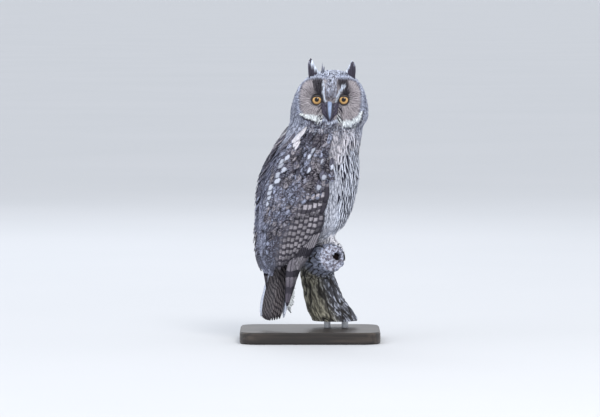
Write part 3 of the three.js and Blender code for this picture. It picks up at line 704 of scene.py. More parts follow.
def vane_pattern():
    """The look of one feather from its own coordinates: barbs, streak, bars, flecks, spot and edge."""
    group = bpy.data.node_groups.new("vane_pattern", "ShaderNodeTree")
    for name, kind in (("Lie", "Vector"), ("Span", "Vector"), ("Trait", "Vector"), ("Extra", "Vector"),
                       ("Phase", "Float"), ("Ground", "Color"), ("Mark", "Color"), ("Edge", "Color")):
        group.interface.new_socket(name, in_out="INPUT", socket_type="NodeSocket" + kind)
    for name, kind in (("Color", "Color"), ("Height", "Float")):
        group.interface.new_socket(name, in_out="OUTPUT", socket_type="NodeSocket" + kind)
    given = group.nodes.new("NodeGroupInput").outputs

    def parts(socket):
        made = group.nodes.new("ShaderNodeSeparateXYZ")
        group.links.new(socket, made.inputs[0])
        return made.outputs

    add, less, scaled, line, larger = [
        partial(sum_of, group, operation)
        for operation in ("ADD", "SUBTRACT", "MULTIPLY", "MULTIPLY_ADD", "MAXIMUM")]
    step, blend = partial(step_of, group), partial(blend_of, group)

    u, v, _ = parts(given["Lie"])
    wide_mm, long_mm, number = parts(given["Span"])
    streak, barring, fringe = parts(given["Trait"])
    spot, dark_fleck, pale_fleck = parts(given["Extra"])
    apart = sum_of(group, "ABSOLUTE", u)
    apart_mm = sum_of(group, "ABSOLUTE", wide_mm)
    sloped = line(apart_mm, -0.7, long_mm)

    def grain(wide_scale, length, long_scale, shift, detail):
        place = vector_of(group, scaled(wide_mm, wide_scale), scaled(length, long_scale), shift)
        return noise_of(group, place, 1, detail)

    barbs = grain(0.35, sloped, 1.5, number, 2)
    blotch = grain(0.26, long_mm, 0.32, number, 2)
    squiggle = grain(0.3, long_mm, 0.5, add(number, 9.0), 1)
    ragged = line(barbs, 0.5, -0.25)

    wide = scaled(streak, step(v, 0.2, 1.0, 1.15, 0.9))
    within = less(add(wide, ragged), apart)
    streak_share = scaled(step(within, -0.1, 0.1), step(v, 0.05, 0.2))
    streak_share = scaled(streak_share, step(streak, 0.01, 0.05))
    wave = sum_of(group, "SINE", scaled(given["Phase"], 2 * math.pi))
    wave = add(wave, line(blotch, 2.0, -1.0))
    bar_share = scaled(step(wave, 0.0, 0.42), barring)
    fleck_share = scaled(step(blotch, 0.5, 0.56), dark_fleck)
    mark_share = larger(larger(streak_share, bar_share), fleck_share)

    light = line(barbs, 0.5, 0.75)
    shaded = blend(1.0, given["Ground"], vector_of(group, light, light, light), "MULTIPLY")
    colour = blend(mark_share, shaded, given["Mark"])
    aside = sum_of(group, "DIVIDE", less(u, 0.3), 0.78)
    ahead = sum_of(group, "DIVIDE", less(v, 0.72), 0.25)
    off = add(scaled(aside, aside), scaled(ahead, ahead))
    off = add(off, line(blotch, 2.0, -0.9))
    spot_share = scaled(step(off, 1.1, 0.7), spot)
    pale_share = scaled(step(squiggle, 0.5, 0.58), pale_fleck)
    rim = add(larger(apart, v), ragged)
    fringe_share = scaled(step(rim, 0.78, 1.0), fringe)
    edge_share = larger(larger(spot_share, pale_share), fringe_share)
    colour = blend(edge_share, colour, given["Edge"])
    rooted = step(v, 0.0, 0.4, 0.7, 1.0)
    colour = blend(1.0, colour, vector_of(group, rooted, rooted, rooted), "MULTIPLY")
    out = group.nodes.new("NodeGroupOutput")
    group.links.new(colour, out.inputs["Color"])
    group.links.new(barbs, out.inputs["Height"])
    return group


vane_group = vane_pattern()


def plumage_finish(name, roughness, depth=0.0006):
    """A feather finish that reads each blade's stored places, tones and measures."""
    made, tree, shader = new_finish(name, roughness)
    shader.inputs["Specular IOR Level"].default_value = 0.25
    vanes = tree.nodes.new("ShaderNodeGroup")
    vanes.node_tree = vane_group
    for key, part in (("lie", "Vector"), ("span", "Vector"), ("trait", "Vector"), ("extra", "Vector"),
                      ("phase", "Fac"), ("ground", "Color"), ("mark", "Color"), ("edge", "Color")):
        tree.links.new(stored(tree, key, part), vanes.inputs[key.capitalize()])
    give_colour(tree, shader, vanes.outputs["Color"])
    emboss(tree, shader, vanes.outputs["Height"], 0.5, depth)
    return made


TRIES = 5


def scatter(region, spacing):
    """Even random places on the skin where region(points) is true, at least the spacing apart."""
    corners = [(f[0], f[i], f[i + 1]) for f in skin_faces for i in range(1, len(f) - 1)]
    a, b, c = (skin_points[list(k)] for k in zip(*corners))
    areas = np.linalg.norm(np.cross(b - a, c - a), axis=1) / 2
    count = int(areas.sum() / spacing**2 * TRIES)
    pick = dice.choice(len(areas), count, p=areas / areas.sum())
    r, s = np.sqrt(dice.random(count))[:, None], dice.random(count)[:, None]
    points = a[pick] * (1 - r) + b[pick] * r * (1 - s) + c[pick] * r * s
    points = points[region(points)]
    kept, cells = [], {}
    around = [(i - 1, j - 1, k - 1) for i, j, k in np.ndindex(3, 3, 3)]
    for k, point in enumerate(points):
        cell = tuple((point // spacing).astype(int))
        near = [cells.get((cell[0] + i, cell[1] + j, cell[2] + m), ()) for i, j, m in around]
        if all(((point - points[j]) ** 2).sum() > spacing**2 for some in near for j in some):
            cells.setdefault(cell, []).append(k)
            kept.append(k)
    return points[kept]


def lay_over_skin(roots, heading, lengths, lift, stations=5):
    """Lines that follow the skin from their roots, rising from lift[0] to lift[1]."""
    spot, way = settle(roots)
    mids, ups = [], []
    for k in range(stations):
        rise = lift[0] + (lift[1] - lift[0]) * (k / (stations - 1)) ** 0.7
        mids.append(spot + way * np.reshape(rise, (-1, 1)))
        ups.append(way)
        heading = unit(heading - way * (heading * way).sum(1)[:, None])
        spot, way = settle(spot + heading * (lengths / (stations - 1))[:, None])
    return np.stack(mids, 1), np.stack(ups, 1)


def blade_outline(t, widest, root, top, tip):
    """A blade's half width along it: from its root out to its widest place, then round to the tip."""
    rising = root + (1 - root) * np.sin(t / widest * math.pi / 2)
    return np.where(t < widest, rising, np.sqrt(np.maximum(top - ((t - widest) / tip) ** 2, 0)))


outlines = {
    "soft": lambda t: blade_outline(t, 0.55, 0.5, 1.02, 0.46),
    "bristle": lambda t: (0.6 + 0.4 * np.sin(t * math.pi)) * (1 - 0.8 * t**2),
    "flight": lambda t: blade_outline(t, 0.7, 0.6, 1.01, 0.305),
}
WIDTH_WANDER = 0.08
# Each blade has its own number from 0 to this, which moves the noise on it
NUMBER_SPREAD = 97


def make_vanes(mids, ups, width, outline="soft", camber=0.22, thick=0.25, columns=3, tilt=0.0, outer=1.0):
    """Closed blades along their lines: the points, the faces and each point's lie."""
    count, stations = mids.shape[:2]
    t = np.linspace(0, 1, stations)
    ways = unit(np.gradient(mids, axis=1))
    across = unit(np.cross(ups, ways))
    up = unit(np.cross(ways, across))
    lean = np.reshape(tilt, (-1, 1, 1)) * np.ones((count, 1, 1))
    across = unit(across + up * lean)
    up = unit(np.cross(ways, across))
    half = np.reshape(width, (-1, 1)) / 2 * outlines[outline](t)[None, :] * np.ones((count, 1))
    half *= 1 + WIDTH_WANDER * (dice.random((count, stations)) * 2 - 1)
    ring_u, face_side = np.linspace(-1, 1, columns), np.ones(columns)
    if columns > 3:
        ring_u = np.append(ring_u, ring_u[-2:0:-1])
        face_side = np.append(face_side, -np.ones(columns - 2))
    bulge = 1 - ring_u**2
    rise = half[:, :, None] * camber * bulge + thick / 2 * bulge * face_side
    points = (mids[:, :, None] + across[:, :, None] * (half[:, :, None] * ring_u)[..., None]
              + up[:, :, None] * rise[..., None])
    ring = len(ring_u)
    single = []
    for s in range(stations - 1):
        for r in range(ring):
            q = (r + 1) % ring
            single.append((s * ring + r, s * ring + q, (s + 1) * ring + q, (s + 1) * ring + r))
    per = stations * ring
    first = (np.arange(count) * per)[:, None, None]
    quads = np.array(single)[None] + first
    ends = [[ring - 1 - r for r in range(ring)], [per - ring + r for r in range(ring)]]
    caps = np.array(ends)[None] + first
    faces = quads.reshape(-1, 4).tolist() + caps.reshape(-1, ring).tolist()
    lie = np.zeros((count, stations, ring, 3))
    lie[..., 0] = ring_u * outer
    lie[..., 1] = t[None, :, None]
    lie[..., 2] = dice.random(count)[:, None, None]
    lengths = np.linalg.norm(np.diff(mids, axis=1), axis=2).sum(1)
    span = lie * 1.0
    span[..., 0] = ring_u * half[:, :, None]
    span[..., 1] *= lengths[:, None, None]
    span[..., 2] *= NUMBER_SPREAD
    return {"points": points.reshape(-1, 3), "faces": faces, "lie": lie.reshape(-1, 3),
            "span": span.reshape(-1, 3), "phase": np.zeros(count * per), "roots": mids[:, 0],
            "per": per, "count": count}


def colour_vanes(vanes, ground, mark, edge=None, streak=0.0, barring=0.0, fringe=0.0,
                 spot=0.0, fleck=0.0, pale=0.0):
    """Gives each blade its colours and its measures of pattern."""
    count, per = vanes["count"], vanes["per"]

    def spread(value, width=1):
        value = np.asarray(value, float)
        if value.ndim == 3 or (width == 1 and value.ndim == 2 and value.shape[1] > 1):
            return np.repeat(value.reshape(-1, width), per // value.shape[1], axis=0)
        if value.ndim < 2:
            value = value.reshape(-1, 1) if width == 1 else value.reshape(1, -1)
        return np.repeat(np.broadcast_to(value, (count, width)), per, axis=0)

    vanes["ground"] = spread(ground, 3)
    vanes["mark"] = spread(mark, 3)
    vanes["edge"] = spread(tones["white"] if edge is None else edge, 3)
    vanes["trait"] = np.hstack([spread(streak), spread(barring), spread(fringe)])
    vanes["extra"] = np.hstack([spread(spot), spread(fleck), spread(pale)])
    return vanes


def unwrap_body(points):
    """A cut-open unwrap of the trunk: round it and up it."""
    return np.stack([body_degrees(points) / 360 + 0.5, (points[:, 2] - 20) / 300], 1)


def store(mesh, name, values):
    """Keeps a number or a vector at every point of a mesh, for its finish to read."""
    values = np.asarray(values, np.float32)
    kind, key = ("FLOAT", "value") if values.ndim == 1 else ("FLOAT_VECTOR", "vector")
    mesh.attributes.new(name, kind, "POINT").data.foreach_set(key, values.ravel())


# How much of the unwrapped sheet one blade takes up, across and up
PATCH = 0.003


def new_coat(name, blocks, finish, unwrap=unwrap_body):
    """One piece of plumage from blocks of coloured blades."""
    points, faces = gather([(b["points"], b["faces"]) for b in blocks])
    coat = new_piece(name, points, faces, finish)
    mesh = coat.data

    def joined(key):
        return np.concatenate([b[key] for b in blocks]).astype(np.float32)

    for key in ("lie", "span", "trait", "extra", "phase"):
        store(mesh, key, joined(key))
    for key in ("ground", "mark", "edge"):
        keep_tone(mesh, key, joined(key))
    root_places = np.concatenate([np.repeat(unwrap(b["roots"]), b["per"], axis=0) for b in blocks])
    lie = joined("lie")
    within = np.stack([lie[:, 0] / 2, lie[:, 1] - 0.5], 1)
    patch = np.clip(root_places, PATCH, 1 - PATCH) + PATCH * within
    corners = np.empty(len(mesh.loops), np.int32)
    mesh.loops.foreach_get("vertex_index", corners)
    mesh.uv_layers.new(name="OFBake").data.foreach_set("uv", patch[corners].astype(np.float32).ravel())
    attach(coat, "root")
    return coat


# Where the wing's front edge crosses each height, in degrees round the body
wing_edge = np.array([[100, 97], [131, 92], [145, 88], [164, 87], [184, 86], [198, 89], [224, 91], [236, 83],
                      [248, 92], [259, 98], [272, 99]])


def under_wing(points, margin):
    """Where a folded wing hides the body, but for a margin in degrees along its edges."""
    z, degrees = points[:, 2], np.abs(body_degrees(points))
    front = np.interp(z, wing_edge[:, 0], wing_edge[:, 1]) + margin
    return (degrees > front) & (degrees < 172 - margin) & (z < 268) & (z > 98)


def breast_region(points):
    z, degrees = points[:, 2], np.abs(body_degrees(points))
    return (z > 112) & (z < 286) & (degrees < 125) & ~under_wing(points, 7) & ~leg_region(points)


def leg_region(points):
    near = np.zeros(len(points), bool)
    for stance in stances:
        ankle, hip = np.array(stance["ankle"], float), np.array(stance["hip"], float)
        t = np.clip((points[:, 2] - ankle[2]) / (hip[2] - ankle[2]), 0, 1)[:, None]
        middle = ankle + (hip - ankle) * t
        near |= (np.hypot(*(points - middle)[:, :2].T) < 11 + 9 * t[:, 0]) & (points[:, 2] < 152)
    return near & (points[:, 2] > 130)


def down_body(points):
    """The lie of the body feathers: down, and a little towards the back."""
    turn = np.radians(body_row(points[:, 2])[3])
    backward = np.stack([-np.cos(turn), -np.sin(turn), np.zeros(len(turn))], 1)
    wander = dice.normal(0, 0.07, (len(points), 3))
    return unit(np.array([0, 0, -1.0]) + 0.16 * backward + wander)


coat_finish = plumage_finish("body_feathers", 0.85)
STREAK_TONE = plain_tone(38, 38, 54)

BREAST_SPACING = 2.9
roots = scatter(breast_region, BREAST_SPACING)
count = len(roots)
fluff = fade(roots[:, 2], 158, 182)
streaked = smooth_step(roots[:, 2], 172, 190) * fade(np.abs(body_degrees(roots)), 66, 76)
headings, lengths = down_body(roots), dice.uniform(13, 18, count)
rise = dice.uniform(2.0, 3.2, count) - 0.9 * fluff - 1.2 * streaked
mids, ups = lay_over_skin(roots, headings, lengths, (-0.8, rise))
breast_down = colour_vanes(
    make_vanes(mids, ups, dice.uniform(4.0, 5.8, count)),
    ground_tone(roots) * dice.uniform(0.93, 1.1, (count, 1)), tones["flank"] * 0.65,
    fringe=0.35 + 0.3 * fluff, fleck=0.16 - 0.1 * fluff, edge=tones["breast"],
    barring=0.3 * (roots[:, 2] < 240))
breast_down["phase"] = breast_down["points"][:, 2] / 8 + 0.35 * drift(breast_down["points"], 14, 81)

# The streaked feathers stand in upright files, each over the root of the next one down
STREAK_TOP, STREAK_FOOT, FILE_STEP, FEATHER_STEP = 284, 170, 5.6, 10.5
# How far round the breast they reach, in degrees, at some heights
STREAK_HEIGHTS, STREAK_REACH = (164, 191, 218, 239, 259, 273), (54, 66, 73, 77, 81, 88)
places = []
for file_degrees in np.arange(-80, 88, FILE_STEP):
    for height in np.arange(STREAK_TOP, STREAK_FOOT, -FEATHER_STEP) - dice.uniform(0, FEATHER_STEP):
        up = height + dice.uniform(-2.5, 2.5)
        round_body = file_degrees + dice.uniform(-1.0, 1.0) + 0.05 * (STREAK_TOP - height)
        if abs(round_body) < np.interp(up, STREAK_HEIGHTS, STREAK_REACH):
            places.append((up, round_body))
places = np.array(places)
roots = on_body(places[:, 0], places[:, 1], -COAT_DEPTH)
count = len(roots)
lengths = dice.uniform(19, 27, count)
mids, ups = lay_over_skin(roots, down_body(roots), lengths, (-0.8, dice.uniform(3.2, 4.2, count)), 8)
faint = smooth_step(np.abs(places[:, 1]), 72, 80) * (0.35 + 0.4 * smooth_step(places[:, 0], 258, 270))
breast_streaks = colour_vanes(
    make_vanes(mids, ups, dice.uniform(6.8, 8.8, count), camber=0.14, columns=5),
    ground_tone(roots - (0, 0, 10)) * dice.uniform(0.92, 1.12, (count, 1)), STREAK_TONE * 0.8,
    streak=dice.uniform(0.35, 0.6, count) * (1 - faint), fringe=0.12, edge=tones["white"])
new_coat("breast_feathers", [breast_down, breast_streaks], coat_finish)

# Mantle, rump and under-tail
# The feathers between the folded wings, darker and softly streaked, with long
# loose ones down the middle and pale ones round the root of the tail.


def mantle_region(points):
    z, degrees = points[:, 2], np.abs(body_degrees(points))
    return (z > 108) & (z < 284) & (degrees > 105) & ~under_wing(points, 6)


MANTLE_SPACING = 3.4
roots = scatter(mantle_region, MANTLE_SPACING)
count = len(roots)
headings, lengths = down_body(roots), dice.uniform(15, 20, count)
mids, ups = lay_over_skin(roots, headings, lengths, (-0.6, dice.uniform(2.6, 4.6, count)))
mantle = colour_vanes(
    make_vanes(mids, ups, dice.uniform(4.5, 7, count)),
    ground_tone(roots) * dice.uniform(0.85, 1.35, (count, 1)), STREAK_TONE * 0.8,
    streak=dice.uniform(0.1, 0.35, count), fringe=0.45, fleck=0.4, edge=tones["head"])


def feather_line(root, tip, side, lift, stations):
    """Lines over the body's form from root to tip, given as height and degrees."""
    s = np.linspace(0, 1, stations)[None, :]
    z = root[:, :1] + (tip - root)[:, :1] * s
    degrees = side * (root[:, 1:] + (tip - root)[:, 1:] * s)
    mids = on_body(z, degrees, lift + 0 * z)
    ups = unit(on_body(z, degrees, lift + 1 + 0 * z) - mids)
    shape = (len(root), stations, 3)
    return mids.reshape(shape), ups.reshape(shape)


# Long loose feathers down the middle of the back, over the rump, between the wings
LOOSE_FEATHERS = 64
count = LOOSE_FEATHERS
spread = dice.uniform(163, 197, count)
start = dice.uniform(120, 210, count)
root = np.stack([start, spread], 1)
s = np.linspace(0, 1, 8)
tip = root - np.stack([dice.uniform(26, 34, count), 0.2 * (spread - 180)], 1)
mids, ups = feather_line(root, tip, 1, -4.5 + dice.uniform(3.6, 5.2, count)[:, None] * s**0.6, 8)
middle = colour_vanes(
    make_vanes(mids, ups, dice.uniform(8, 11, count), camber=0.12, columns=5, thick=0.4),
    tones["back"] * dice.uniform(0.9, 1.5, (count, 1)), STREAK_TONE,
    streak=0.12, fringe=0.4, fleck=0.7, pale=0.8, edge=tones["head"])
new_coat("mantle_feathers", [mantle, middle], coat_finish)

# Wings
# Each folded wing: primaries and secondaries below, tiers of greater and median
# coverts over their roots, small mottled coverts over the arm, and white-spotted
# scapulars with a pale wedge on the shoulder.

wing_tones = {name: plain_tone(*tone) for name, tone in {
    "dark": (56, 53, 62), "grey": (98, 97, 112), "buff": (160, 155, 162), "frost": (170, 176, 200),
    "brown": (84, 79, 89), "white": (222, 228, 244), "deep": (46, 43, 52), "cream": (216, 214, 220),
}.items()}
flight_finish = plumage_finish("flight_feathers", 0.7, 0.0003)
# Marks of the wing, placed by height and degrees round the body
dark_stripe = [(290, 134), (275, 136), (262, 133), (248, 133), (236, 134)]
front_band = [(210, 92.5), (191, 91), (175, 90), (161, 90), (147, 88)]
buff_patches = [((253, 112), (13, 13)), ((210, 98), (9, 8)), ((187, 150), (7, 12)), ((226, 128), (8, 5))]


def off_sheet_line(z, degrees, line):
    """The rough distance, in millimetres, from a line given as height and degrees."""
    away, _ = off_line(z, degrees * 1.05, [(height, turn * 1.05) for height, turn in line])
    return away


def wing_look(z, degrees):
    """Ground tone, and the share of dark and of pale feathers, at a height and turn of the wing."""
    shape = z.shape
    z, degrees = z.ravel(), degrees.ravel()
    look = np.tile(np.append(wing_tones["brown"], (0.55, 0.6)), (len(z), 1))

    def lay(name, share, dark, pale):
        look[:] += (np.append(wing_tones[name], (dark, pale)) - look) * share[:, None]

    lay("grey", smooth_step(degrees, 122, 138), 0.5, 0.6)
    lay("dark", 0.75 * smooth_step(degrees, 118, 134) * fade(z, 138, 160), 0.6, 0.4)
    for (height, turn), (tall, wide) in buff_patches:
        off = np.hypot((z - height) / tall, (degrees - turn) / wide)
        lay("buff", 0.8 - 0.8 * smooth_step(off, 0.6, 1.2), 0.35, 0.2)
    frosty = np.hypot((z - 258) / 12, (degrees - 148) / 8)
    lay("frost", 0.7 - 0.7 * smooth_step(frosty, 0.5, 1.1), 0.7, 0.5)
    lay("grey", smooth_step(degrees, 160, 167) * smooth_step(z, 190, 205), 0.3, 0.3)
    lay("frost", 0.8 * smooth_step(degrees, 163, 168) * fade(np.abs(z - 162), 30, 40), 0.3, 0.3)
    shoulder = np.hypot((z - 273) / 13, (degrees - 120) / 11)
    lay("dark", 0.75 - 0.75 * smooth_step(shoulder, 0.5, 1.1), 0.4, 0.15)
    lay("deep", 0.9 - 0.9 * smooth_step(off_sheet_line(z, degrees, dark_stripe), 1.5, 6.5), 0.25, 0.15)
    lay("dark", fade(off_sheet_line(z, degrees, front_band), 2.5, 4.5), 0.1, 0.0)
    return look[:, :3].reshape(shape + (3,)), look[:, 3].reshape(shape), look[:, 4].reshape(shape)


# How far down the small coverts reach at some degrees round the body
covert_feet = [88, 110, 117, 123, 128, 136, 150, 168], [217, 210, 203, 191, 179, 166, 150, 130]


def covert_region(points):
    z, degrees = points[:, 2], np.abs(body_degrees(points))
    front = np.interp(z, wing_edge[:, 0], wing_edge[:, 1]) + 3
    foot = np.interp(degrees, *covert_feet)
    return (z > foot) & (z < 286) & (degrees > front) & (degrees < 168)


# The tiers run from the wing's front edge to its back edge, with roots and tips
# given as height and degrees round the body
wing_tiers = [
    {"kind": "primary", "count": 9, "width": 11, "stations": 20, "tilt": 0.14, "sweep": 1.0,
     "root": ((190, 94), (176, 112)), "tip": ((86, 71), (50, 112)), "lift": (-5, -1.6), "stack": 0.36},
    {"kind": "secondary", "count": 14, "width": 14, "stations": 16, "tilt": 0.16, "sweep": 3.0,
     "root": ((200, 96), (206, 167)), "tip": ((147, 92), (97, 173)), "lift": (-4.2, 0), "stack": 0},
    {"kind": "greater", "count": 13, "width": 13, "stations": 11, "tilt": 0.18, "sweep": 1.0,
     "root": ((220, 97), (222, 162)), "tip": ((176, 92), (160, 160)), "lift": (-4, 1.2), "stack": 0},
    {"kind": "median", "count": 13, "width": 13, "stations": 9, "tilt": 0.18, "sweep": 1.0,
     "root": ((232, 98), (228, 162)), "tip": ((192, 91), (184, 158)), "lift": (-4, 1.9), "stack": 0},
]


# The turn of the primaries' bars at some heights: one bar to every whole turn
bar_turns = ([40, 46, 56, 66, 77, 88, 99, 115, 130, 147, 160, 200],
             [3.8, 3.5, 3.0, 2.5, 2.0, 1.5, 0.98, 0.5, -0.02, -0.5, -0.9, -1.1])


def wing_vanes(tier, side):
    """One tier of a wing's barred feathers. The left primaries are tucked in closer."""
    count, stations, kind = tier["count"], tier["stations"], tier["kind"]
    tucked = kind == "primary" and side < 0
    k = np.arange(count)
    t = k / (count - 1)
    root = np.array(tier["root"][0]) + np.outer(t, np.subtract(tier["root"][1], tier["root"][0]))
    fall = 1 - (1 - t) ** tier["sweep"]
    (front_z, front_turn), (back_z, back_turn) = tier["tip"]
    tip = np.stack([front_z + (back_z - front_z) * fall, front_turn + (back_turn - front_turn) * t], 1)
    tip[:, 0] += dice.uniform(-2.5, 2.5, count)
    if tucked:
        tip += (16, -20) * t[:, None]
    s = np.linspace(0, 1, stations)[None, :]
    low, high = tier["lift"]
    lift = low + (high - low) * np.sqrt(s) + tier["stack"] * k[:, None] * (0.3 + 0.7 * s)
    if tucked:
        lift = lift - 8 * smooth_step(s, 0.4, 1)
    mids, ups = feather_line(root, tip, side, lift, stations)
    outline = "flight" if kind in ("primary", "secondary") else "soft"
    vanes = make_vanes(mids, ups, tier["width"] * dice.uniform(0.95, 1.05, count), outline,
                       camber=0.12, thick=0.6, columns=5, tilt=side * tier["tilt"], outer=side)
    heights = vanes["points"][:, 2]
    mid_z, mid_turn = mids[..., 2], np.abs(body_degrees(mids.reshape(-1, 3))).reshape(count, stations)
    jitter = dice.uniform(-1, 1, count).repeat(vanes["per"])
    if kind == "primary":
        past_edge = k[:, None] - np.interp(mid_z, [110, 135], [6.9, 5.4])
        lit = smooth_step(mid_z, 72, 92) * (1 - 0.55 * smooth_step(past_edge, -0.8, 0.8))
        lit = lit[..., None]
        ground = wing_tones["buff"] * 1.05 * lit + wing_tones["brown"] * 1.15 * (1 - lit)
        ground = ground * dice.uniform(0.9, 1.1, (count, 1, 1))
        fringe = 0.7 - 0.7 * smooth_step(s + 0 * mid_z, 0.5, 0.75)
        vanes = colour_vanes(vanes, ground, wing_tones["dark"], barring=0.97, fleck=0.2, streak=0.1,
                             edge=wing_tones["deep"], fringe=fringe)
        vanes["phase"] = np.interp(heights, *bar_turns) + 0.04 * jitter
        return vanes
    ground, _, _ = wing_look(mid_z, mid_turn)
    inner = smooth_step(mid_turn + 0.35 * (mid_z - 160), 124, 142)
    rows = wing_tones["buff"] * (1.2 - 0.44 * smooth_step(190 - mid_z, 0, 40))[..., None]
    ground = rows + inner[..., None] * (ground - rows)
    band = fade(off_sheet_line(mid_z.ravel(), mid_turn.ravel(), front_band), 2.5, 4.5)
    ground = ground + band.reshape(count, stations, 1) * (wing_tones["dark"] * 1.2 - ground)
    patchy = 1 + 0.2 * drift(mids.reshape(-1, 3), 9, 51).reshape(count, stations, 1)
    frosty = wing_tones["frost"] * (0.45 + 0.35 * smooth_step(mid_z, 120, 170))[..., None]
    edge = wing_tones["deep"] + inner[..., None] * (frosty - wing_tones["deep"])
    vanes = colour_vanes(vanes, ground * patchy * dice.uniform(0.86, 1.12, (count, 1, 1)), wing_tones["dark"],
                         barring=0.96 - 0.45 * inner, streak=0.13, fringe=0.7 - 0.35 * inner,
                         fleck=0.22 + 0.6 * inner, pale=0.85 * inner, edge=edge)
    turn = np.repeat(mid_turn.ravel(), vanes["per"] // stations)
    if kind == "secondary":
        every_other = np.arange(len(turn)) // vanes["per"] % 2
        vanes["phase"] = heights / 8.2 + 0.5 * smooth_step(turn, 88, 130) + 0.28 * every_other + 0.1 * jitter
    else:
        vanes["phase"] = heights / 12.4 + 0.29 + 0.6 * smooth_step(turn, 86, 122) + 0.12 * jitter
    return vanes


COVERT_SPACING = 3.6


def small_coverts(side):
    """Mottled coverts scattered over the arm, their tones following their place on the wing."""
    roots = scatter(lambda points: covert_region(points) & (body_degrees(points) * side > 0), COVERT_SPACING)
    count = len(roots)
    root = np.stack([roots[:, 2], np.abs(body_degrees(roots))], 1)
    ahead = np.stack([dice.uniform(-18, -13, count), dice.uniform(-4, 3, count)], 1)
    s = np.linspace(0, 1, 6)[None, :]
    lift = -3.4 + dice.uniform(5.2, 7.4, count)[:, None] * s**0.8
    mids, ups = feather_line(root, root + ahead, side, lift, 6)
    ground, dark, pale = wing_look(root[:, 0] - 10, root[:, 1])
    pick = dice.random(count)
    warm = smooth_step(drift(roots, 14, 61), -0.2, 0.5)[:, None]
    light = wing_tones["frost"] + warm * (wing_tones["buff"] * 1.05 - wing_tones["frost"])
    ground = np.where((pick < 0.55 * dark)[:, None], wing_tones["deep"] * 1.15, ground)
    ground = np.where((pick > 1 - 0.36 * pale)[:, None], light * 0.92, ground)
    ground = ground * (1 + 0.22 * drift(roots, 16, 62))[:, None]
    return colour_vanes(
        make_vanes(mids, ups, dice.uniform(6.5, 9.5, count), camber=0.15, outer=side, tilt=side * 0.1),
        ground * dice.uniform(0.92, 1.25, (count, 1)), wing_tones["deep"], streak=0.16, fringe=0.3 * pale,
        fleck=0.4 + 0.6 * dark, pale=0.95 * pale, spot=(dice.random(count) < 0.05) * 0.7,
        edge=light * dice.uniform(0.8, 1.1, (count, 1)))


# The white spots down the edge of the back and on the coverts, as height and degrees
white_spots = np.array([
    (252, 150), (247, 156), (241.5, 154.9), (236, 148), (229, 154), (221, 152.5), (212, 160), (205, 160.5),
    (198, 160), (190, 161), (226.6, 99), (213, 102.5), (240.2, 91), (248, 104), (254, 121), (262, 119),
    (236, 117),
])
spot_widths = np.array([9, 9, 11, 10, 12, 12, 11, 10, 9, 7, 12, 11, 8, 6, 7, 6, 6])


def scapulars(side):
    """The spotted feathers of the wing and the pale wedge on the shoulder."""
    root = white_spots + (10, -0.5)
    count = len(white_spots)
    s = np.linspace(0, 1, 7)[None, :]
    mids, ups = feather_line(root, white_spots + (-6, 1.5), side, -1.0 + 5.4 * s**0.7 + 0 * root[:, :1], 7)
    vanes = make_vanes(mids, ups, spot_widths, camber=0.14, columns=5, thick=0.5, outer=side)
    spotted = colour_vanes(
        vanes, wing_tones["grey"], wing_tones["deep"], streak=0.1, fringe=0.3, fleck=0.5, spot=0.9,
        edge=wing_tones["white"] * dice.uniform(0.5, 0.84, (count, 1)))
    root = np.array([(292.0, 144), (290, 146.5), (287, 149.5), (284.5, 152.5), (281, 149), (278, 146)])
    tip = np.array([(278.0, 145.5), (273, 148), (270.5, 150.5), (270, 152.5), (264.5, 147), (261, 142.5)])
    mids, ups = feather_line(root, tip, side, -1.0 + 6.4 * s**0.7 + 0 * root[:, :1], 7)
    vanes = make_vanes(mids, ups, (5, 6, 6.5, 6, 6.5, 5), camber=0.14, columns=5, thick=0.4, outer=side)
    wedge = colour_vanes(
        vanes, wing_tones["cream"] * dice.uniform(0.9, 1.1, (len(root), 1)), wing_tones["buff"],
        fleck=0.25, streak=0.1, fringe=0.15, edge=wing_tones["white"])
    return [spotted, wedge]


for name, side in (("wing_right", 1), ("wing_left", -1)):
    blocks = [wing_vanes(tier, side) for tier in wing_tiers]
    wing = new_coat(name + "_feathers", blocks, flight_finish)
    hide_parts(name)
    new_coat(name + "_coverts", [small_coverts(side)] + scapulars(side), coat_finish)

# Tail
# Twelve long barred feathers folded into a narrow fan that hangs past the wing
# tips, the outermost two white, with white down along the fan's right edge.

TAIL_PAIRS = 6
TAIL_TONE = plain_tone(105, 99, 101)
TAIL_BAR_TONE = plain_tone(36, 34, 39)
TAIL_BAR_STEP, TAIL_FEATHER_WIDTH = 7.5, 11
tail_blocks = []
for pair in range(TAIL_PAIRS):
    outward = pair / (TAIL_PAIRS - 1)
    for side in (-1, 1):
        across = side * (0.07 + 0.77 * outward + 0.09 * (outward == 1))
        reach = 1 - 0.045 * outward**2
        s = np.linspace(0, 1, 13)
        top = side * 1.1 * (1 - outward) - outward
        lift = top - 0.8 + 1.8 * np.sqrt(s)
        along = 0.1 + (reach - 0.1) * s
        aside = across * (0.7 + 0.3 * s)
        mids = on_tail(along, aside, lift)
        ups = unit(on_tail(along, aside, lift + 1) - mids)
        vanes = make_vanes(mids[None], ups[None], TAIL_FEATHER_WIDTH, "flight", camber=0.1, thick=0.5,
                           columns=5, tilt=side * 0.22)
        if pair == TAIL_PAIRS - 1:
            ground, barring, fringe, edge = wing_tones["white"], 0.15, 0.6, wing_tones["white"]
        else:
            ground, barring, fringe, edge = TAIL_TONE, 0.9, 0.25, wing_tones["brown"]
        vanes = colour_vanes(vanes, ground, TAIL_BAR_TONE, barring=barring, streak=0.12, fleck=0.25,
                             fringe=fringe, edge=edge)
        sideways = (vanes["points"] - tail_root) @ tail_across
        level = vanes["points"][:, 2] + 1.2 * sideways + 2.5 * drift(vanes["points"], 9, 71)
        vanes["phase"] = level / TAIL_BAR_STEP
        tail_blocks.append(vanes)

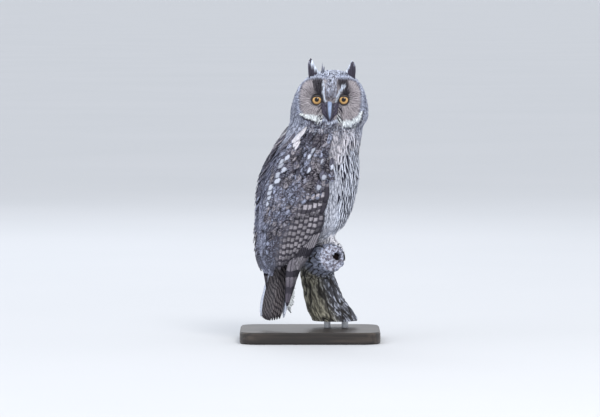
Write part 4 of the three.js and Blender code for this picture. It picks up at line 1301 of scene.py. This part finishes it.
# White down from under the tail shows past its right edge
DOWN_FEATHERS = 110
count = DOWN_FEATHERS
start = dice.uniform(0.3, 0.74, count)
across = dice.uniform(0.55, 0.86, count)
s = np.linspace(0, 1, 6)
along = start[:, None] + dice.uniform(0.13, 0.2, count)[:, None] * s
wide = across[:, None] + 0.46 * s**1.3
mids = on_tail(along, wide, -2.6 - 1.2 * s[None, :] * dice.random((count, 1))).reshape(count, 6, 3)
ups = np.broadcast_to(-tail_up, mids.shape)
tail_blocks.append(colour_vanes(
    make_vanes(mids, ups, dice.uniform(3, 5, count)), tones["white"] * dice.uniform(0.7, 0.95, (count, 1)),
    tones["flank"] * 0.5, streak=0.1, fringe=0.4, fleck=0.2))
tail = new_coat("tail_feathers", tail_blocks, flight_finish,
                lambda p: np.stack([0.5 + (p - tail_root) @ tail_across / 60, (p[:, 2] - 20) / 130], 1))
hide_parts("tail")

# Legs and toes
# Short plain whitish feathers clothe the legs and the toes down to the claws.
# Those of the legs hang, and those of the toes point outwards and down.


def foot_region(points):
    x, z = points[:, 0], points[:, 2]
    return (z > 118) & (z < 139) & (x > -12) & (np.abs(body_degrees(points)) < 179) & ~leg_region(points)


LEG_TONE = plain_tone(245, 243, 248)
FEET_MIDDLE = (14, 0, 136)
leg_blocks = []
for region, spacing, length, width, rise in ((leg_region, 2.3, (11, 17), (2.2, 3.6), (2.0, 4.5)),
                                              (foot_region, 1.9, (4, 7), (1.4, 2.2), (0.6, 1.3))):
    roots = scatter(region, spacing)
    count = len(roots)
    headings = unit(np.array([0.1, 0, -1.0]) + dice.normal(0, 0.12, (count, 3)))
    if region is foot_region:
        headings = unit((roots - FEET_MIDDLE) * (1, 1, 0.2) + (0, 0, -6))
    lengths = dice.uniform(*length, count)
    mids, ups = lay_over_skin(roots, headings, lengths, (-0.4, dice.uniform(*rise, count)))
    leg_blocks.append(colour_vanes(
        make_vanes(mids, ups, dice.uniform(*width, count)),
        LEG_TONE * dice.uniform(0.88, 1.1, (count, 1)), LEG_TONE * 0.7, fleck=0.06, fringe=0.2))
new_coat("leg_feathers", leg_blocks, coat_finish)

# Claws
# Eight black horn claws, round, curved and drawn out to a sharp point. One is
# set into the end of each toe.

claw_finish, tree, shader = new_finish("claw_horn", 0.32)
grain = noise_of(tree, place_of(tree), 900, 3)
grained = step_of(tree, grain, 0.35, 0.7)
give_colour(tree, shader, blend_of(tree, grained, paint(22, 21, 23), paint(62, 58, 56)))
emboss(tree, shader, grain, 0.25, 0.0002)
CLAW_LENGTH, CLAW_SINK, CLAW_RADIUS, CLAW_TIP = 13, 1.5, 2.1, 0.2
CLAW_RINGS = CLAW_SIDES = 14
# The claw's curve: shares of its length ahead, and millimetres down
claw_curve = ((0, 0), (0.4, 0.6), (0.75, 2), (1, 4))
for stance in stances:
    for k, (turn, reach) in enumerate(toe_turns):
        toe = toe_line(stance["ankle"], turn, reach, stance["turn"])
        start, way = toe[-1], along_line(toe)[-1]
        inward = np.array([0, 0, -1.0]) + way * way[2]
        inward /= np.linalg.norm(inward)
        bends = [start + way * (CLAW_LENGTH * ahead - CLAW_SINK) + inward * fall
                 for ahead, fall in claw_curve]
        line = curve_through(bends, CLAW_RINGS)
        sizes = CLAW_RADIUS + (CLAW_TIP - CLAW_RADIUS) * np.linspace(0, 1, CLAW_RINGS) ** 0.9
        name = f"claw_{stance['side']}_{k + 1}"
        claw = new_piece(name + "_horn", *rod_along(line, sizes, CLAW_SIDES), claw_finish)
        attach(claw, "root")
        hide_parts(name)

# Head and neck
# Small soft feathers that lie back over the crown and hang down the nape and the
# throat, longer towards the shoulders, where they run out over the body's.


def unwrap_head(points):
    """A cut-open unwrap of the head, from the face round to the nape and up to the crown."""
    turn = np.arctan2(points[:, 0] - head_middle(points[:, 2]), -points[:, 1] + 3)
    rise = np.arcsin(np.clip((points[:, 2] - 270) / 120, 0, 1))
    return np.stack([turn / (2 * math.pi) + 0.5, rise / (math.pi / 2)], 1)


def head_way(points):
    """The lie on the head: out from the eyes on the face, else back over the crown and down."""
    _, dx, dz, _ = eye_polar(points)
    across = points[:, 0] - head_middle(points[:, 2])
    radial = unit(np.stack([dx, np.zeros(len(dx)), dz], 1))
    over = unit(np.stack([0.1 * across, np.maximum(points[:, 2] - 318, 0) + 6, -points[:, 1] * 0.9 - 18], 1))
    down = unit(np.stack([0.004 * across, 0.18 + 0 * dx, -1 + 0 * dx], 1))
    high = smooth_step(points[:, 2], 316, 346)[:, None]
    lie = over * high + down * (1 - high)
    share = face_share(points)[:, None]
    return unit(radial * share + lie * (1 - share))


def head_region(points):
    return (points[:, 2] > 268) & (face_share(points) < 0.6)


def tone_along(mids):
    """The ground tone at every station of the blades, a little shaken so that marks end softly."""
    shake = dice.normal(0, 0.6, (len(mids), 1, 3))
    return ground_tone((mids + shake).reshape(-1, 3)).reshape(mids.shape)


HEAD_SPACING = 2.1
roots = scatter(head_region, HEAD_SPACING)
count = len(roots)
headings = unit(head_way(roots) + dice.normal(0, 0.08, (count, 3)))
up_high = smooth_step(roots[:, 2], 285, 312)
lengths = (15 - 6 * up_high) * dice.uniform(0.85, 1.15, count)
mids, ups = lay_over_skin(roots, headings, lengths, (-0.5, dice.uniform(1.6, 2.8, count)))
high_crown = smooth_step(roots[:, 2], 345, 358)
round_body = np.abs(body_degrees(roots))
plain = smooth_step(round_body, 70, 78) * fade(round_body, 106, 114)
plain = plain * fade(roots[:, 2], 284, 294)
streaky = dice.random(count) < 0.5 - 0.15 * up_high + 0.3 * high_crown
streaky = streaky * (roots[:, 2] > 272) * (1 - 0.75 * plain)
vanes = make_vanes(mids, ups, (4.6 - 1.6 * up_high) * dice.uniform(0.85, 1.15, count))
ground = tone_along(mids)
shade = 1 - (1 - dice.uniform(0.85, 1.12, count)) * (1 + 1.6 * high_crown)
flecked = 1 - 0.7 * plain
crown = colour_vanes(
    vanes, ground * shade[:, None, None], STREAK_TONE, streak=streaky * dice.uniform(0.3, 0.5, count),
    fringe=0.2 + 0.4 * high_crown, fleck=(0.4 + 0.3 * high_crown) * flecked,
    pale=(0.3 + 0.5 * high_crown) * flecked, edge=tones["crown"])
new_coat("head_feathers", [crown], coat_finish, unwrap_head)

# Face
# The two discs: stiff narrow feathers that radiate from each eye, with black
# round the eyes, white brows and lower crescents, and a dark speckled rim.


FACE_SPACING, RIM_SPACING, EYE_CLEARING = 1.45, 1.5, 7.7


def face_region(points):
    return (face_share(points) > 0.4) & (eye_polar(points)[0] > EYE_CLEARING)


roots = scatter(face_region, FACE_SPACING)
count = len(roots)
across = roots[:, 0] - head_middle(roots[:, 2])
inner = fade(np.abs(across), 9, 15)[:, None]
upper = smooth_step(roots[:, 2], 322, 330)[:, None]
brow_way = np.stack([0.28 * np.sign(across), np.zeros(count), np.ones(count)], 1)
moustache = np.stack([0.55 * np.sign(across), np.full(count, -0.25), -np.ones(count)], 1)
inward_way = brow_way * upper + moustache * (1 - upper)
headings = head_way(roots) * (1 - inner) + inward_way * inner + dice.normal(0, 0.06, (count, 3))
lengths = dice.uniform(6.5, 9.5, count)
mids, ups = lay_over_skin(roots, unit(headings), lengths, (-0.3, dice.uniform(1.2, 2.2, count)))
ground = tone_along(mids)
clean = smooth_step(ground[..., 0].mean(1), 0.5, 0.8)
vanes = make_vanes(mids, ups, dice.uniform(1.3, 2.1, count), "bristle")
shade = 1 + (dice.uniform(0.88, 1.1, count) - 1) * (1 - clean)
wedge = (np.abs(across) < 8) * (roots[:, 2] > 330)
face = colour_vanes(
    vanes, ground * shade[:, None, None], tones["disc"] * 0.4, fleck=(0.12 + 0.5 * wedge) * (1 - clean),
    fringe=0.2 * (1 - clean), edge=tones["disc"])
face_finish = plumage_finish("face_feathers", 0.85)
new_coat("face_feathers", [face], face_finish, unwrap_head)


def rim_region(points):
    share = face_share(points)
    return (share > 0.02) & (share < 0.85) & (points[:, 2] > 296)


roots = scatter(rim_region, RIM_SPACING)
count = len(roots)
_, dx, dz, _ = eye_polar(roots)
headings = unit(np.stack([dx, np.full(count, 4.0), dz], 1) + dice.normal(0, 1.5, (count, 3)))
lengths = dice.uniform(4.5, 6.5, count)
mids, ups = lay_over_skin(roots, headings, lengths, (0.2, dice.uniform(2.0, 3.2, count)))
ground = tone_along(mids)
clean = smooth_step(ground[..., 0].mean(1), 0.5, 0.8)
vanes = make_vanes(mids, ups, dice.uniform(1.8, 2.8, count))
shade = 1 + (dice.uniform(0.8, 1.15, count) - 1) * (1 - clean)
rim = colour_vanes(vanes, ground * shade[:, None, None], tones["black"],
                   fringe=0.15 * (1 - clean), fleck=0.3 * (1 - clean), edge=tones["head"])
new_coat("rim_feathers", [rim], face_finish, unwrap_head)

# Ear tufts
# Two narrow tufts of long feathers that stand on the crown, dark, with a paler
# inner edge. A small loose tip of feathers stands beside the right one.

TUFT_TONE = plain_tone(66, 62, 76)
TUFT_FEATHERS, TIP_FEATHERS, TUFT_PEAK = 40, 8, 0.3
TUFT_FACING = np.array([0.0, -1, 0.1])
tufts = [
    {"name": "ear_tuft_right", "inner": 1, "root": (6.5, -9, 350), "tip": (3.0, -12, 384.5),
     "wide": 12.8, "fall": 0.5, "pale": (0.66, 0.8), "pale_from": 0.37, "dark_each": 30},
    {"name": "ear_tuft_left", "inner": -1, "root": (52.5, -9, 350), "tip": (55.0, -12, 381),
     "wide": 13.5, "fall": 0.52, "pale": (0.74, 0.9), "pale_from": 0.3, "dark_each": 4},
]
for tuft in tufts:
    rise = np.subtract(tuft["tip"], tuft["root"])
    aside = np.array([1.0, 0, 0]) - rise * rise[0] / rise.dot(rise)
    count = TUFT_FEATHERS
    t = np.linspace(-0.5, 0.5, count)
    inward = t * tuft["inner"] + 0.5
    s = np.linspace(0, 1, 8)
    reach = 1 - 0.35 * np.maximum(TUFT_PEAK - inward, 0)
    reach = reach - tuft["fall"] * np.maximum(inward - TUFT_PEAK, 0) / (1 - TUFT_PEAK)
    reach *= dice.uniform(0.975, 1.015, count)
    depth = dice.uniform(-3.5, 2.5, count)
    mids = (tuft["root"] + rise * (reach[:, None] * s)[..., None]
            + aside * (t[:, None] * tuft["wide"] * (1 - 0.25 * s))[..., None]
            + np.array([0, -1.0, 0]) * (depth[:, None] * (1 - 0.6 * s) + 1.2 * np.sin(s * 2.4))[..., None])
    ups = np.broadcast_to(TUFT_FACING, mids.shape)
    paler = (inward > tuft["pale_from"]) * (np.arange(count) % tuft["dark_each"] > 0)
    pale = smooth_step(s, *tuft["pale"])[None, :] * paler[:, None]
    slate = TUFT_TONE * dice.uniform(0.8, 1.2, (count, 1))
    ground = slate[:, None] + (tones["frost"] - slate[:, None]) * pale[..., None]
    vanes = make_vanes(mids, ups, dice.uniform(3.6, 4.8, count), "flight", thick=0.4, columns=5)
    vanes = colour_vanes(vanes, ground, wing_tones["deep"], streak=np.where(inward > TUFT_PEAK, 0.05, 0.3),
                         fringe=np.where((inward < 0.07) | (inward > 0.9), 0.7, 0.06), edge=tones["head"])
    blocks = [vanes]
    if tuft["inner"] > 0:
        foot = np.array([16.5, -12, 356]) + dice.uniform(-1, 1, (TIP_FEATHERS, 3)) * (2.4, 1, 1)
        point = np.array([18.0, -13, 375]) + dice.uniform(-1, 1, (TIP_FEATHERS, 3)) * (2.2, 0.5, 4.5)
        mids = foot[:, None] + (point - foot)[:, None] * s[None, :, None]
        ups = np.broadcast_to(TUFT_FACING, mids.shape)
        blocks.append(colour_vanes(
            make_vanes(mids, ups, 2.2, "bristle"), tones["head"] * dice.uniform(0.3, 1.0, (TIP_FEATHERS, 1)),
            wing_tones["deep"], streak=0.2, fringe=0.5, edge=tones["head"]))
    made = new_coat(tuft["name"] + "_feathers", blocks, flight_finish, unwrap_head)
    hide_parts(tuft["name"])

# Eyes
# Glass eyes: an amber iris, darker at its rim and round the black pupil, under a
# clear domed front, each in a ring of bare black lid.

eye_finish, tree, shader = new_finish("eye_glass", 0.12)
gaze = stored(tree, "gaze", "Fac")
turn = stored(tree, "turn", "Fac")
around, out = sum_of(tree, "MULTIPLY", turn, 9), sum_of(tree, "MULTIPLY", gaze, 2.5)
fibre = noise_of(tree, vector_of(tree, around, out, 0.0), 3, 3)
iris = blend_of(tree, step_of(tree, fibre, 0.3, 0.75), paint(186, 140, 78), paint(224, 188, 128))
# The iris's dark rim and inner ring, the pupil, and the black behind the lid
for start, end, tone in ((0.58, 0.74, (132, 88, 44)), (0.42, 0.34, (128, 82, 40)),
                         (0.35, 0.33, (6, 5, 5)), (0.76, 0.80, (14, 12, 12))):
    iris = blend_of(tree, step_of(tree, gaze, start, end), iris, paint(*tone))
give_colour(tree, shader, iris)
shader.inputs["Coat Weight"].default_value = 0.6
shader.inputs["Specular IOR Level"].default_value = 0.1
shader.inputs["Coat Roughness"].default_value = 0.02
emboss(tree, shader, fibre, 0.1, 0.0002)

lid_finish, tree, shader = new_finish("lid_skin", 0.5)
wrinkle = noise_of(tree, place_of(tree), 1500, 3)
give_colour(tree, shader, blend_of(tree, wrinkle, paint(18, 17, 19), paint(50, 47, 50)))
emboss(tree, shader, wrinkle, 0.5, 0.0002)

PUPIL_RISE = 0.6
EYE_RINGS = 48
LID_RADIUS, LID_STEPS, LID_SECTORS = 6.75, 48, 12
# How far before the middle of the glass the ring of the lids lies
LID_AHEAD = EYE_SINK - 1.0


def eye_form(along, angle, radius):
    """A ball with a slight dome on its front."""
    bend = along * math.pi
    bulge = 1 + 0.06 * np.exp(-((bend / 0.55) ** 2))
    ring = np.sin(bend) * radius
    return EYE_RADIUS * np.stack([ring * np.cos(angle), -np.cos(bend) * bulge, ring * np.sin(angle)], 1)


for name, eye in zip(("eye_right", "eye_left"), eyes):
    points, faces = loft(EYE_RINGS, EYE_RINGS, eye_form)
    ball = new_piece(name + "_glass", points + eye, faces, eye_finish)
    radial = np.hypot(points[:, 0], points[:, 2] - PUPIL_RISE) / EYE_RADIUS
    store(ball.data, "gaze", np.where(points[:, 1] < 0, radial, 1.0))
    store(ball.data, "turn", np.abs(np.arctan2(points[:, 2], points[:, 0])))
    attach(ball, "root")
    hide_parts(name)

    turns = np.linspace(0, 2 * math.pi, LID_STEPS + 1)[:-1]
    above = np.maximum(np.sin(turns), 0) ** 2
    ring = LID_RADIUS * np.stack([np.cos(turns), 0 * turns, 0.96 * np.sin(turns)], 1)
    ring = ring + np.outer(above, (0, -0.4, -1.2)) + (0, -0.6, 0)
    thick = 0.95 + 1.0 * above
    section = np.arange(LID_SECTORS) / LID_SECTORS * 2 * math.pi
    outward = unit(ring * (1, 0, 1))
    lid_points = (ring[:, None] + outward[:, None] * (thick[:, None] * np.cos(section))[..., None]
                  + np.array([0, -1.0, 0]) * (thick[:, None] * np.sin(section))[..., None])
    lid_faces = []
    for i, j in np.ndindex(LID_STEPS, LID_SECTORS):
        here, beyond = i * LID_SECTORS, (i + 1) % LID_STEPS * LID_SECTORS
        k = (j + 1) % LID_SECTORS
        lid_faces.append((here + j, here + k, beyond + k, beyond + j))
    lid_points = lid_points.reshape(-1, 3) + eye + (0, -LID_AHEAD, 0)
    lid = new_piece(name.replace("eye", "lids"), lid_points, lid_faces, lid_finish)
    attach(lid, "root")

# Bill
# A hooked upper half of dark grey horn, with a nostril on each side, closed over
# a shorter lower half. A pale blue-grey highlight is painted along the top of
# both halves, and the nostrils are painted near black as painted shade. Stiff dark
# and white bristles grow forward round its root, and the lores, short feathers,
# sweep in from both sides to its tip.

bill_finish, tree, shader = new_finish("bill_horn", 0.38)
grain = noise_of(tree, place_of(tree), 500, 3)
# Painted highlight: pale blue-grey along the top of the dark horn, from the stored ridge share
horn = blend_of(tree, stored(tree, "ridge", "Fac"), paint(62, 60, 74), paint(143, 161, 194))
horn = blend_of(tree, step_of(tree, grain, 0.4, 0.75, 0.0, 0.4), horn, paint(36, 38, 46))
# Painted shade: the shallow nostril dents are painted near black
horn = blend_of(tree, stored(tree, "pit", "Fac"), horn, paint(14, 13, 16))
give_colour(tree, shader, horn)
emboss(tree, shader, grain, 0.2, 0.0002)

bill_x = head_middle(313)
BILL_RINGS, BILL_SIDES = 70, 48
NOSTRIL = np.array([4.6, -42.2, 318.6])
NOSTRIL_REACH = np.array([2.5, 1.6, 1.25])


def loft_places(along, sectors):
    """How far along and how far round each point of a loft lies, its two end points last."""
    turn = np.tile(np.arange(sectors) / sectors * 2 * math.pi, len(along))
    return np.append(np.repeat(along, sectors), [0, 1]), np.append(turn, [0, 0])


def bill_half(name, line, widths, heights, node):
    """One half of the bill along its middle line, with half widths and half heights down it."""
    line = curve_through([(bill_x, y, z) for y, z in line], BILL_RINGS)
    ways = along_line(line)
    place = np.linspace(0, 1, BILL_RINGS)
    wide = np.interp(place, np.linspace(0, 1, len(widths)), widths)
    high = np.interp(place, np.linspace(0, 1, len(heights)), heights)

    def at(along, angle, radius):
        k = np.rint(along * (BILL_RINGS - 1)).astype(int)
        up = np.stack([np.zeros(len(k)), ways[k, 2], -ways[k, 1]], 1)
        keel = 1 + 0.12 * np.maximum(np.sin(angle), 0) ** 4
        return (line[k] + np.array([1.0, 0, 0]) * (radius * wide[k] * np.cos(angle))[:, None]
                + up * (radius * high[k] * np.sin(angle) * keel)[:, None])
    points, faces = loft(BILL_RINGS - 1, BILL_SIDES, at)
    across = points[:, 0] - bill_x
    away = (np.stack([np.abs(across), points[:, 1], points[:, 2]], 1) - NOSTRIL) / NOSTRIL_REACH
    pit = np.exp(-(away ** 2).sum(1) ** 2)
    points[:, 0] -= np.sign(across) * pit
    made = new_piece(name, points, faces, bill_finish)
    store(made.data, "pit", pit)
    down_bill, turn = loft_places(place, BILL_SIDES)
    # The painted highlight: along the upper side of each half, fading in from the root and out towards the
    # tip
    shine = smooth_step(np.sin(turn), 0.66 + 0.22 * down_bill, 0.96)
    shine = shine * (1 - 0.85 * smooth_step(down_bill, 0.6, 0.95)) * smooth_step(down_bill, 0.0, 0.25)
    store(made.data, "ridge", shine)
    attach(made, "root")
    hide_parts(node)


bill_half("bill_upper_horn", [(-30, 322.5), (-39.5, 320), (-45.5, 313), (-46.6, 305.8), (-45, 300.5)],
          (5, 5, 4.2, 2.6, 0.4), (5, 5.4, 4.4, 2.7, 0.4), "bill_upper")
bill_half("bill_lower_horn", [(-30, 309.5), (-37.5, 308), (-41.5, 305.8), (-43.6, 303.6)],
          (4.2, 4.2, 3, 0.7), (3.2, 3.4, 2.6, 0.7), "bill_lower")


def turned_out(mids, side, aside, ahead):
    """The outward way of the small feathers beside the bill: ahead, and off to their side."""
    return unit(np.broadcast_to(np.array(ahead), mids.shape) + side[:, None, None] * np.array([aside, 0, 0]))


tips = {}
for kind, count in (("dark", 110), ("moustache", 150)):
    side = np.where(np.arange(count) % 2 == 0, -1.0, 1.0)
    rise = dice.random(count)
    if kind == "dark":
        roots = np.stack([bill_x + side * (3.5 + 5.0 * rise), -36.0 + 3 * rise, 309 + 12 * rise], 1)
        near = (dice.uniform(1.5, 4.5, count) - 1.5) / 3
        aside = side * (0.9 + 4.5 * rise * near)
        goal = np.stack([bill_x + aside, -43.2 + 1.4 * rise * near, 300.5 + 6 * rise], 1)
        tone = tones["lore"] * (0.6 + 2.6 * dice.random((count, 1)) ** 4)
    else:
        aside = side * dice.uniform(8.5, 12.5, count)
        roots = np.stack([bill_x + aside, -35.5 + 2.5 * rise, 303 + 17 * rise], 1)
        aside, ahead, fall = [dice.uniform(*reach, count) for reach in ((2.5, 7), (1.5, 3.5), (7, 11))]
        goal = roots + np.stack([side * aside, -ahead, -fall], 1)
        high_root = smooth_step(roots[:, 2:], 308, 315)
        frost = 0.9 * (tones["white"] * (1 - high_root) + tones["disc"] * high_root)
        tone = np.where((dice.random(count) < 0.5)[:, None], frost, tones["black"] * 1.3)
    s = np.linspace(0, 1, 6)
    bulge = np.array([0, -2.0, 0.5]) * np.sin(s * math.pi)[None, :, None]
    mids = roots[:, None] + (goal - roots)[:, None] * s[None, :, None] + bulge
    ups = turned_out(mids, side, 0.5, (0, -1.0, 0.3))
    vanes = make_vanes(mids, ups, dice.uniform(1.0, 1.9, count), "bristle")
    tips[kind] = colour_vanes(vanes, tone, tones["black"], streak=0.1)

LORE_COUNT = 360
LORE_TIP_Z = 299.0
lore_dice = np.random.default_rng(31)


def lore_depth(out):
    """How far forward the lores lie at each distance from the middle of the bill."""
    return np.interp(out, [2.5, 5.0, 9.0, 13.0], [-43.4, -42.2, -38.8, -36.4])


side = np.where(np.arange(LORE_COUNT) % 2 == 0, -1.0, 1.0)
high = lore_dice.uniform(305.5, 325.0, LORE_COUNT)
spread = lore_dice.uniform(0.3, 1.0, LORE_COUNT)
widest = np.minimum(0.93 * (high - LORE_TIP_Z), 12.5)
out = np.maximum(spread * widest, 4.6 + 1.6 * lore_dice.random(LORE_COUNT))
low = high - lore_dice.uniform(5.5, 9.0, LORE_COUNT)
flank = 0.2 + np.interp(low, [300.5, 305.8, 313, 320], [0.4, 2.6, 4.2, 5.0])
end = np.maximum(out * np.maximum(low - LORE_TIP_Z, 0) / (high - LORE_TIP_Z), flank)
roots = np.stack([head_middle(high) + side * out, lore_depth(out) + 2.2, high], 1)
goals = np.stack([head_middle(low) + side * end, lore_depth(end), low], 1)
s = np.linspace(0, 1, 6)[None, :, None]
mids = roots[:, None] + (goals - roots)[:, None] * s + np.array([0, -1.0, 0.6]) * np.sin(s * math.pi)
ups = turned_out(mids, side, 0.7, (0, -0.8, 0.4))
shade = lore_dice.random((LORE_COUNT, 1))
pale_strand = ((high > 315) & (out > 5.4) & (out < 8.0))[:, None] & (shade > 0.66)
tone = np.where(pale_strand, tones["nape"] * 0.7, tones["lore"] * (1.0 + 1.6 * shade ** 2))
lores = make_vanes(mids, ups, lore_dice.uniform(0.8, 1.5, LORE_COUNT), "bristle")
tips["lores"] = colour_vanes(lores, tone, tones["black"], streak=0.15)
new_coat("bill_bristles", list(tips.values()), face_finish, unwrap_head)

# Perch
# A cut length of weathered branch with deeply ridged bark, mossy on the left. Its
# upper end is a short broken stub, bleached grey, with a rotten hole in its face.

STUB_END = np.array([29.5, -44.5, 115.0])
BARK_RINGS, FACE_RINGS, BARK_SECTORS, STUB_RADIUS = 240, 34, 200, 18.4
perch_line = curve_through([(43, 14, 8), (34, 14, 26), (22.5, 15, 45), (15, 18, 68), (10.5, 19, 90),
                            (12, 7, 106), (20.5, -20, 113), STUB_END], BARK_RINGS)
stub_way = unit(STUB_END - perch_line[-12])
face_steps = np.linspace(0, 1, FACE_RINGS + 1)[1:]
face_line = STUB_END + stub_way * (0.02 * np.arange(1, FACE_RINGS + 1))[:, None]
perch_line = np.vstack([perch_line, face_line])
RINGS = len(perch_line)


def waves(along, angle, seed, terms, bend):
    """A sum of soft ridges that run along the branch."""
    source = np.random.default_rng(seed)
    total = np.zeros_like(along)
    for _ in range(terms):
        around = source.integers(3, 11)
        total += np.sin(around * angle + source.uniform(-bend, bend) * along + source.uniform(0, 6.28)
                        + 1.1 * np.sin(source.uniform(5, 24) * along + 2 * angle)) / terms**0.5
    return total


def bark_swell(along, angle):
    """The size of the branch at each place of its bark, beside its plain round size."""
    ridges = np.abs(waves(along, angle, 5, 5, 10))
    cross = waves(along * 3, angle, 12, 5, 40)
    rough = waves(along, angle * 3, 9, 7, 60)
    return 1 + 0.13 * (np.minimum(ridges, 0.7) - 0.42) + 0.014 * cross * (ridges > 0.2) + 0.01 * rough


along = np.linspace(0, 1, RINGS)
BEND_START, BEND_END = 0.54, 0.80
trunk = 27.5 - 5 * smooth_step(along, 0, BEND_START)
sizes = trunk + (STUB_RADIUS - trunk) * smooth_step(along, BEND_START, BEND_END)
sizes[-FACE_RINGS:] *= 1 - 0.985 * face_steps
points, faces = rod_along(perch_line, sizes, BARK_SECTORS, bark_swell)
ring_along, ring_angle = loft_places(along, BARK_SECTORS)

# The broken end: rough wood with faint growth rings round a rotten hole
HOLE_X, HOLE_Z, HOLE_DEPTH = 37.3, 117.0, 11
face = np.zeros(len(points), bool)
face[(RINGS - FACE_RINGS) * BARK_SECTORS:RINGS * BARK_SECTORS] = True
face[-1] = True
hole = np.hypot(points[:, 0] - HOLE_X, points[:, 2] - HOLE_Z)
radial = np.linalg.norm(points - STUB_END, axis=1)
hollow = fade(hole + 0.8 * drift(points, 2.5, 8), 4.1, 6.3)
broken = 1.5 * drift(points, 6, 21) + 0.9 * drift(points, 2.2, 22)
broken = broken + 0.35 * np.sin(radial * 2.6 + drift(points, 5, 23))
within = STUB_RADIUS - radial
rise = (broken + 0.06 * within) * smooth_step(within, 0, 3) - HOLE_DEPTH * hollow
points[face] += (stub_way * rise[:, None])[face]

perch_finish, tree, shader = new_finish("weathered_bark", 0.88)
fine = noise_of(tree, stored(tree, "fibre"), 1.0, 4)
broad = noise_of(tree, place_of(tree), 60, 3)


def fibrous(low, high, dark, light):
    """Two tones that change along the fibres of the wood."""
    return blend_of(tree, step_of(tree, fine, low, high), paint(*dark), paint(*light))


bark = blend_of(tree, step_of(tree, broad, 0.38, 0.62), paint(40, 39, 44), paint(80, 82, 90))
bark = blend_of(tree, step_of(tree, fine, 0.5, 0.66, 0.0, 0.8), bark, paint(178, 183, 198))
bark = blend_of(tree, step_of(tree, fine, 0.46, 0.34, 0.0, 0.6), bark, paint(44, 42, 44))
moss = sum_of(tree, "MULTIPLY", stored(tree, "shade", "Fac"), step_of(tree, broad, 0.3, 0.6, 0.7, 1.0))
bark = blend_of(tree, moss, bark, fibrous(0.4, 0.62, (74, 71, 62), (156, 152, 134)))
bleached = stored(tree, "bleached", "Fac")
bark = blend_of(tree, bleached, bark, fibrous(0.38, 0.62, (98, 101, 116), (148, 155, 176)))
# Painted shade: the low furrows of the bark's relief, and of the broken end's edge, are painted near black
furrow_shade = step_of(tree, stored(tree, "ridge", "Fac"), 0.5, 0.15, 0.0, 0.94)
bark = blend_of(tree, furrow_shade, bark, paint(26, 23, 22))
bare = stored(tree, "bare", "Fac")
bark = blend_of(tree, bare, bark, fibrous(0.4, 0.62, (112, 108, 118), (190, 195, 213)))
bark = blend_of(tree, stored(tree, "hollow", "Fac"), bark, paint(34, 18, 18))
give_colour(tree, shader, bark)
emboss(tree, shader, fine, 0.8, 0.0015)
perch = new_piece("perch_branch", points, faces, perch_finish)
swell = bark_swell(ring_along, ring_angle)
middle = np.interp(points[:, 2], [26, 45, 68, 90, 106], [34, 22.5, 15, 10.5, 12])
left = fade(points[:, 0] - middle, -6, 12) * fade(points[:, 2], 84, 108)
for name, value in (
        ("ridge", np.where(face, 0.5 + 0.5 * np.tanh(broken) * 0.6, (swell - 0.945) / 0.09)),
        ("shade", left), ("bleached", smooth_step(ring_along, 0.6, 0.72)),
        ("bare", np.where(face, smooth_step(within, 0.6, 2.2), 0)),
        ("hollow", np.where(face, hollow, 0))):
    store(perch.data, name, np.clip(value, 0, 1))

fibre = np.stack([8 * np.cos(ring_angle), 8 * np.sin(ring_angle), 22 * ring_along], 1)
fibre[face] = points[face] * 0.3
store(perch.data, "fibre", fibre)

# The branch is sawn off level at its lower end
SAW_Z = 26 * MM
form = bmesh.new()
form.from_mesh(perch.data)
cut = bmesh.ops.bisect_plane(form, geom=form.verts[:] + form.edges[:] + form.faces[:],
                             plane_co=(0, 0, SAW_Z), plane_no=(0, 0, 1), clear_inner=True)
rim = [part for part in cut["geom_cut"] if isinstance(part, bmesh.types.BMEdge)]
bmesh.ops.contextual_create(form, geom=rim)
form.to_mesh(perch.data)
form.free()
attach(perch, "root")
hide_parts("perch")

# Stand
# A flat board of dark stained wood on the floor and two short steel rods that
# carry the branch. Both keep the shapes of the solids.


def drawn_noise(tree, stretch, scale, detail):
    """A noise drawn out by its own measure along each axis."""
    mapping = tree.nodes.new("ShaderNodeMapping")
    mapping.inputs["Scale"].default_value = stretch
    tree.links.new(place_of(tree), mapping.inputs["Vector"])
    return noise_of(tree, mapping.outputs[0], scale, detail)


wood_finish, tree, shader = new_finish("stained_wood", 0.45)
grain = drawn_noise(tree, (2.5, 40, 40), 4, 4)
grained = step_of(tree, grain, 0.35, 0.7)
give_colour(tree, shader, blend_of(tree, grained, paint(34, 29, 26), paint(70, 60, 53)))
emboss(tree, shader, grain, 0.15, 0.0004)
steel_finish, tree, shader = new_finish("brushed_steel", 0.32)
shader.inputs["Metallic"].default_value = 1.0
brush = drawn_noise(tree, (1, 1, 60), 60, 3)
give_colour(tree, shader, blend_of(tree, brush, paint(150, 152, 156), paint(196, 198, 202)))
board_and_rods = {"stand_base": wood_finish, "stand_rod_1": steel_finish, "stand_rod_2": steel_finish}
for name, finish in board_and_rods.items():
    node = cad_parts[name]
    node.data.materials.clear()
    node.data.materials.append(finish)
